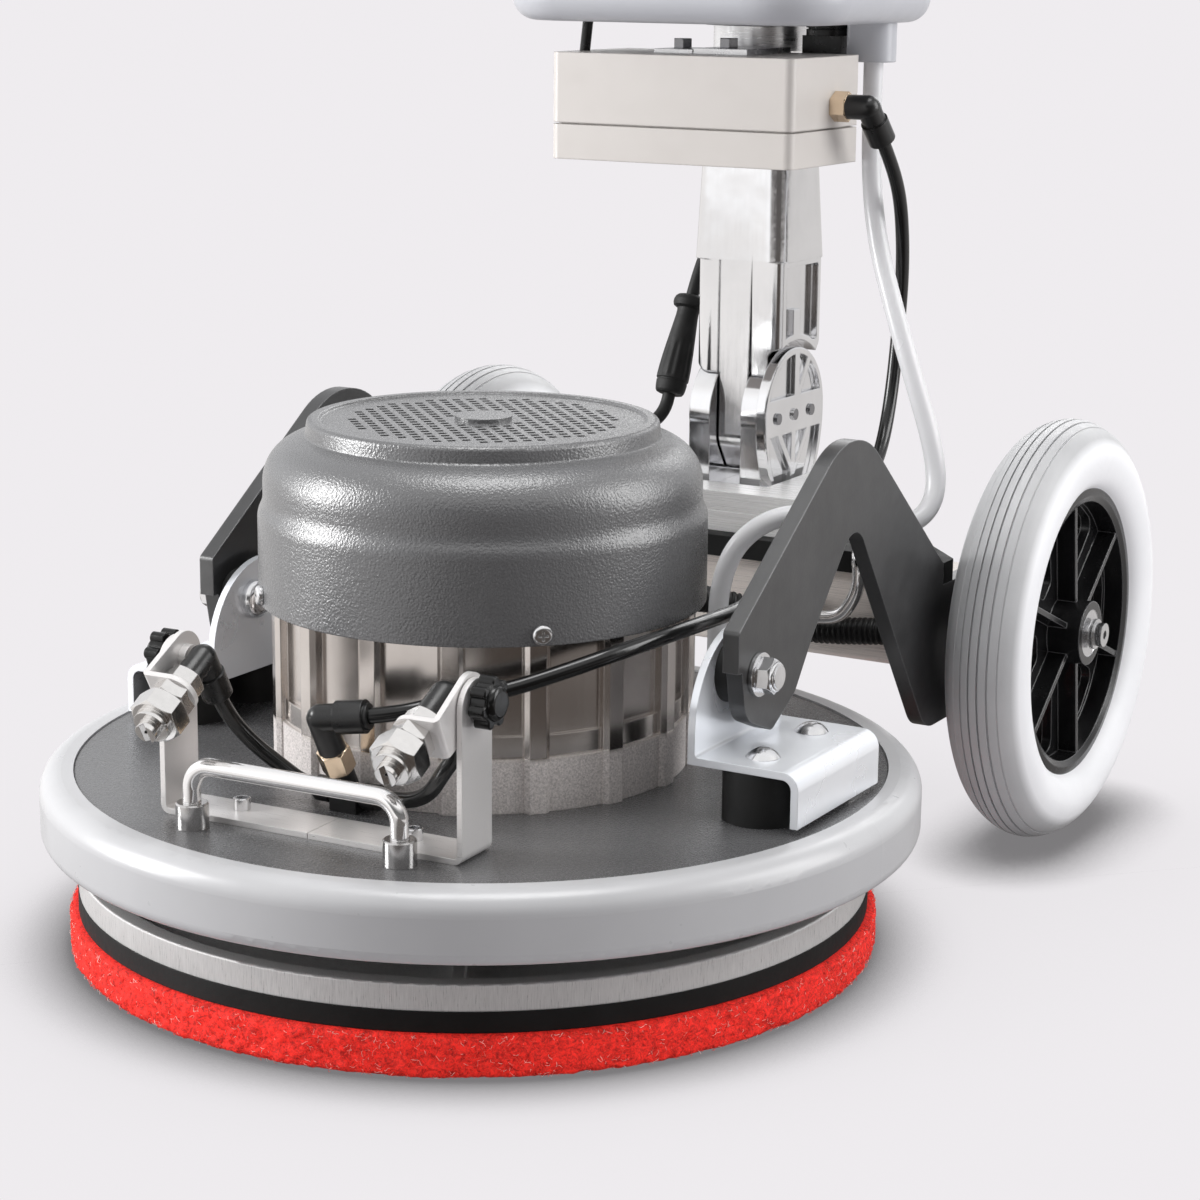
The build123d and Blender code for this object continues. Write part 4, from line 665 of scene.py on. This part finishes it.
def make_connector():
    """Inline connector as a turned moulding: rounded collar, neck, and a body that widens to its lower end."""
    mid = Vector((-0.04938, 0.30645, 0.27600))
    axis = (Vector((-0.0510, 0.2868, 0.2279)) - Vector((-0.04785, 0.3254, 0.3223))).normalized()
    u = axis.orthogonal().normalized()
    v = axis.cross(u)
    outline = [
        (-32.6, 4.3, 0), (-32.6, 6.6, 0), (-32.0, 8.4, 0), (-30.8, 9.6, 0), (-28.8, 10.3, 0), (-26.8, 10.3, 0), (-25.2, 9.7, 0), (-24.4, 8.4, 0),
        (-24.0, 7.1, 0), (-22.0, 6.9, 0), (-19.0, 7.0, 0), (-16.0, 7.3, 0), (-10.0, 7.9, 0), (-4.0, 8.5, 0), (2.0, 9.1, 1), (8.0, 9.6, 1),
        (14.0, 10.0, 1), (19.0, 10.15, 1), (21.4, 10.1, 0), (22.0, 9.5, 0), (22.8, 9.4, 0), (23.2, 9.7, 0), (27.0, 9.4, 0), (29.0, 9.0, 0),
        (30.2, 8.2, 0), (30.6, 7.0, 0), (30.6, 4.3, 0),
    ]
    sides = 72
    verts, faces = [], []
    for s, r, fluted in outline:
        for k in range(sides):
            a = 2 * math.pi * k / sides
            rr = r - (0.55 * (0.5 + 0.5 * math.cos(12 * a)) if fluted else 0.0)
            verts.append(mid + axis * (s / 1000) + u * (rr / 1000 * math.cos(a)) + v * (rr / 1000 * math.sin(a)))
    n = len(outline)
    for i in range(n):
        j = (i + 1) % n
        for k in range(sides):
            q = (k + 1) % sides
            faces.append((i * sides + k, i * sides + q, j * sides + q, j * sides + k))
    ob = add("cable_connector_shell", verts, faces, "black_rubber", smooth=False)
    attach(ob, "chassis")
    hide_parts("cable_connector")
    return ob


connector = make_connector()
cable_high, cable_low = split_near(even(line_of(cable_route), 0.003), (-49.4, 306.5, 276))
ob = tube("motor_cable_upper", cable_high, 0.004, "black_rubber")
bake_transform(ob)
declare("motor_cable")
ob = tube("motor_cable_lower", cable_low, 0.004, "black_rubber")
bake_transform(ob)
declare("motor_cable")


def ribbed(s):
    w = (s % 0.0034) / 0.0034
    return 0.0066 + 0.0014 * max(0.0, math.sin(math.pi * min(1.0, w / 0.72))) ** 0.5


conduit_line = even(line_of(conduit_route), 0.00034)
ob = tube("corrugated_conduit", conduit_line, ribbed, "conduit", 28)
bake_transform(ob)
declare("conduit")

for side, route in (("left", left_route), ("right", right_route)):
    pts = even(line_of(route), 0.002)
    ob = tube("spray_tube_" + side, pts, 0.004, "black_tube")
    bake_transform(ob)
    declare("spray_tubes")


# ------------------------------------------------------------------ scrub pad
def make_pad():
    """Round pad of matted fibre: an uneven body and loose strands on its edge."""
    rng = random.Random(7)
    cx, cy, rad, thick = -0.0036, -0.0023, 0.216, 0.022
    profile = [(0.10, 0.0), (0.18, 0.0), (0.205, 0.0)]
    profile += [(0.2125, 0.0003), (0.2148, 0.0012)]
    profile += [(0.2158, 0.0026 + 0.0164 * k / 11) for k in range(12)]
    profile += [(0.2149, 0.0204), (0.2130, 0.0216), (0.2105, 0.0219), (0.205, 0.0219), (0.18, 0.0219), (0.10, 0.0219)]
    around = 900
    verts, faces = [], []
    for i in range(around):
        a = 2 * math.pi * i / around
        c, s = math.cos(a), math.sin(a)
        for r, z in profile:
            near = max(0.0, min(1.0, (r - 0.2085) / 0.004))
            q = Vector((c * r, s * r, z))
            d = noise.fractal(q * 210.0, 0.8, 2.2, 4) * 0.0011 + noise.noise(q * 38.0) * 0.0007 + noise.noise(q * 620.0) * 0.0004
            lift = noise.noise(q * 260.0 + Vector((7, 3, 1))) * 0.0006
            rr = r + (d - 0.0008) * near
            zz = z + lift * near
            verts.append((cx + c * min(rr, rad - 0.0002), cy + s * min(rr, rad - 0.0002), min(max(zz, 0.0), thick - 0.0001)))
    n = len(profile)
    for i in range(around):
        j = (i + 1) % around
        for k in range(n - 1):
            faces.append((i * n + k, j * n + k, j * n + k + 1, i * n + k + 1))
    verts.append((cx, cy, 0.0))
    verts.append((cx, cy, thick - 0.0001))
    low, high = len(verts) - 2, len(verts) - 1
    for i in range(around):
        j = (i + 1) % around
        faces.append((low, j * n, i * n))
        faces.append((high, i * n + n - 1, j * n + n - 1))
    body = add("scrub_pad_body", verts, faces, "pad")
    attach(body, "pad_assembly")
    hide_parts("scrub_pad")

    verts, faces = [], []
    for k in range(9000):
        a = rng.uniform(0, 2 * math.pi)
        z = rng.uniform(0.0012, 0.0212)
        out = Vector((math.cos(a), math.sin(a), 0))
        tang = Vector((-math.sin(a), math.cos(a), 0))
        up = Vector((0, 0, 1))
        turn = rng.uniform(-math.pi, math.pi)
        along = tang * math.cos(turn) + up * math.sin(turn) * 0.8
        length = rng.uniform(0.0015, 0.0042)
        arch = rng.uniform(0.0002, 0.0013)
        side = along.cross(out).normalized()
        sway = rng.uniform(-0.0012, 0.0012)
        base = out * (0.2146 + rng.uniform(-0.0008, 0.0002))
        thick_r = rng.uniform(0.00007, 0.00014)
        ring = []
        steps = 4
        for i in range(steps + 1):
            u = i / steps - 0.5
            p = base + along * (length * u) + out * (arch * (1 - 4 * u * u)) + side * (sway * math.sin(u * 5.0))
            p = Vector((p.x, p.y, z + p.z))
            rr = math.hypot(p.x, p.y)
            if rr > 0.2162:
                p.x *= 0.2162 / rr
                p.y *= 0.2162 / rr
            p.z = min(max(p.z, 0.0004), 0.0216)
            p.x += cx
            p.y += cy
            ring.append(p)
        start = len(verts)
        for p in ring:
            for m in range(3):
                w = 2 * math.pi * m / 3
                verts.append(p + out * (thick_r * math.cos(w)) + side * (thick_r * math.sin(w)))
        for i in range(steps):
            for m in range(3):
                q = (m + 1) % 3
                faces.append((start + i * 3 + m, start + i * 3 + q, start + i * 3 + 3 + q, start + i * 3 + 3 + m))
        faces.append((start + 2, start + 1, start))
        faces.append((start + steps * 3, start + steps * 3 + 1, start + steps * 3 + 2))
    strands = add("scrub_pad_strands", verts, faces, "pad_strand")
    strands.data.materials.append(M["pad_painted_glint"])
    per = 3 * 4 + 2
    for p in strands.data.polygons:
        # every sixth strand is a pale one, a painted glint on the fibres
        if (p.index // per) % 6 == 0:
            p.material_index = 1
    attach(strands, "pad_assembly")


make_pad()


# ------------------------------------------------------------------ floor, light
def make_stage():
    me = bpy.data.meshes.new("floor")
    s = 120.0
    me.from_pydata([(-s, -s, -0.0004), (s, -s, -0.0004), (s, s, -0.0004), (-s, s, -0.0004)], [], [(0, 1, 2, 3)])
    ob = bpy.data.objects.new("floor", me)
    scene.collection.objects.link(ob)
    # Pale floor. In bright metal it shows as a dim, warm studio floor with a white card to the left.
    m = bpy.data.materials.new("floor_sweep")
    m.use_nodes = True
    nt = m.node_tree
    nt.nodes.clear()
    out = nt.nodes.new("ShaderNodeOutputMaterial")
    # Painted contact shadows: the glowing floor's emission is darkened by its occlusion near the machine, close by and
    # wider.
    close = put(nt, "ShaderNodeAmbientOcclusion", {"samples": 12}, Distance=0.055).outputs["AO"]
    wide = put(nt, "ShaderNodeAmbientOcclusion", {"samples": 8}, Distance=0.30).outputs["AO"]
    shade = math2(nt, "MULTIPLY", ramp(nt, close, 0.56, 0.94, 0.26, 1.0), ramp(nt, wide, 0.45, 0.92, 0.90, 1.0))
    a = put(nt, "ShaderNodeEmission", Color=(0.862, 0.839, 0.862, 1), Strength=shade)
    tc = put(nt, "ShaderNodeTexCoord")
    sx = put(nt, "ShaderNodeSeparateXYZ", Vector=tc.outputs["Object"])
    toward_left = math2(nt, "ADD", math2(nt, "MULTIPLY", sx.outputs[0], -0.87), math2(nt, "MULTIPLY", sx.outputs[1], -0.50))
    toward_back = math2(nt, "ADD", math2(nt, "MULTIPLY", sx.outputs[0], 0.534), math2(nt, "MULTIPLY", sx.outputs[1], 0.845))
    tint = ramp(nt, toward_left, 0.20, 0.50, (0.085, 0.072, 0.064), (1.0, 0.975, 0.96))
    tint = mixc(nt, ramp(nt, toward_back, 0.25, 0.8, 0.0, 1.0), tint, (0.72, 0.70, 0.69))
    g = put(nt, "ShaderNodeEmission", Color=tint, Strength=1.0)
    lp = put(nt, "ShaderNodeLightPath")
    sel = nt.nodes.new("ShaderNodeMixShader")
    nt.links.new(lp.outputs["Is Glossy Ray"], sel.inputs[0])
    nt.links.new(a.outputs[0], sel.inputs[1])
    nt.links.new(g.outputs[0], sel.inputs[2])
    nt.links.new(sel.outputs[0], out.inputs[0])
    me.materials.append(m)

    # The room: dim towards the viewer's side, white behind the machine and overhead, a pale backdrop.
    w = bpy.data.worlds.new("studio")
    scene.world = w
    w.use_nodes = True
    nt = w.node_tree
    nt.nodes.clear()
    out = nt.nodes.new("ShaderNodeOutputWorld")
    t = put(nt, "ShaderNodeTexCoord")
    sep = put(nt, "ShaderNodeSeparateXYZ", Vector=t.outputs["Generated"])
    behind = math2(nt, "ADD", math2(nt, "MULTIPLY", sep.outputs[0], -0.534), math2(nt, "MULTIPLY", sep.outputs[1], 0.845))
    far_side = ramp(nt, behind, 0.05, 0.55, 0.0, 1.0)
    room = nt.nodes.new("ShaderNodeValToRGB")
    nt.links.new(sep.outputs[2], room.inputs[0])
    el = room.color_ramp.elements
    el[0].position, el[0].color = 0.0, (0.13, 0.12, 0.115, 1)
    el[1].position, el[1].color = 1.0, (1.0, 1.0, 1.01, 1)
    for pos, v in ((0.10, 0.10), (0.28, 0.07), (0.42, 0.40), (0.56, 1.10)):
        e2 = el.new(pos)
        e2.color = (v, v * 0.985, v * 0.975, 1)
    leftward = math2(nt, "ADD", math2(nt, "MULTIPLY", sep.outputs[0], -0.845), math2(nt, "MULTIPLY", sep.outputs[1], -0.534))
    card = math2(nt, "MULTIPLY", ramp(nt, leftward, 0.50, 0.66, 0.0, 1.0), ramp(nt, sep.outputs[2], 0.50, 0.72, 1.0, 0.0))
    seen = mixc(nt, card, mixc(nt, far_side, room.outputs[0], (0.86, 0.86, 0.875)), (1.25, 1.25, 1.26))
    shiny = put(nt, "ShaderNodeBackground", Color=seen, Strength=1.0)
    overhead = ramp(nt, sep.outputs[2], 0.2, 0.8, 0.0, 1.0)
    level = mixf(nt, overhead, mixf(nt, far_side, 0.26, 0.55), 0.58)
    fill = put(nt, "ShaderNodeBackground", Color=(1, 1, 1, 1), Strength=level)
    pale = put(nt, "ShaderNodeBackground", Color=(0.855, 0.832, 0.855, 1), Strength=1.0)
    lp = put(nt, "ShaderNodeLightPath")
    m1 = nt.nodes.new("ShaderNodeMixShader")
    nt.links.new(lp.outputs["Is Glossy Ray"], m1.inputs[0])
    nt.links.new(fill.outputs[0], m1.inputs[1])
    nt.links.new(shiny.outputs[0], m1.inputs[2])
    mx = nt.nodes.new("ShaderNodeMixShader")
    nt.links.new(lp.outputs["Is Camera Ray"], mx.inputs[0])
    nt.links.new(m1.outputs[0], mx.inputs[1])
    nt.links.new(pale.outputs[0], mx.inputs[2])
    nt.links.new(mx.outputs[0], out.inputs[0])

    # The soft boxes light the machine and leave the floor out. Bare metal shows the room's own cards instead of the boxes.
    bare = ("drive", "machined", "bolt", "frame", "polished", "chrome", "sleeve", "plate", "stainless", "beam", "zinc", "nickel", "base")
    metal = [nodes[n] for n, f in finish_of.items() if f in bare]
    coated = bpy.data.collections.new("coated_pieces")
    for o in [ob] + metal:
        coated.objects.link(o)
    for c in coated.collection_objects:
        c.light_linking.link_state = "EXCLUDE"
    bright = bpy.data.collections.new("bare_pieces")
    for o in metal:
        bright.objects.link(o)
    red = bpy.data.collections.new("pad_pieces")
    for n in ("scrub_pad_body", "scrub_pad_strands"):
        red.objects.link(bpy.data.objects[n])

    def soft(name, where, aim, size, power, who, shows=True):
        d = bpy.data.lights.new(name, "AREA")
        d.shape = "RECTANGLE"
        d.size, d.size_y = size
        d.energy = power
        o = bpy.data.objects.new(name, d)
        scene.collection.objects.link(o)
        o.location = where
        o.rotation_mode = "QUATERNION"
        o.rotation_quaternion = (Vector(aim) - Vector(where)).to_track_quat("-Z", "Y")
        o.light_linking.receiver_collection = who
        o.visible_glossy = shows

    for tag, who, shows in (("coated", coated, True), ("bare", bright, False)):
        soft("top_box_" + tag, (0.10, -0.05, 2.4), (0, 0.05, 0.2), (1.3, 1.1), 33, who, shows)
        soft("right_box_" + tag, (1.9, 0.9, 1.0), (0.1, 0.15, 0.2), (1.2, 1.6), 34, who, shows)
        soft("left_box_" + tag, (-1.7, -1.05, 0.75), (0, 0, 0.18), (0.7, 1.3), 56, who, shows)
        soft("back_box_" + tag, (-0.4, 2.4, 1.5), (0, 0.2, 0.2), (1.8, 1.2), 20, who, shows)
    soft("pad_box", (0.75, -1.9, 0.35), (0, 0, 0.0), (1.6, 0.4), 13, red)


make_stage()
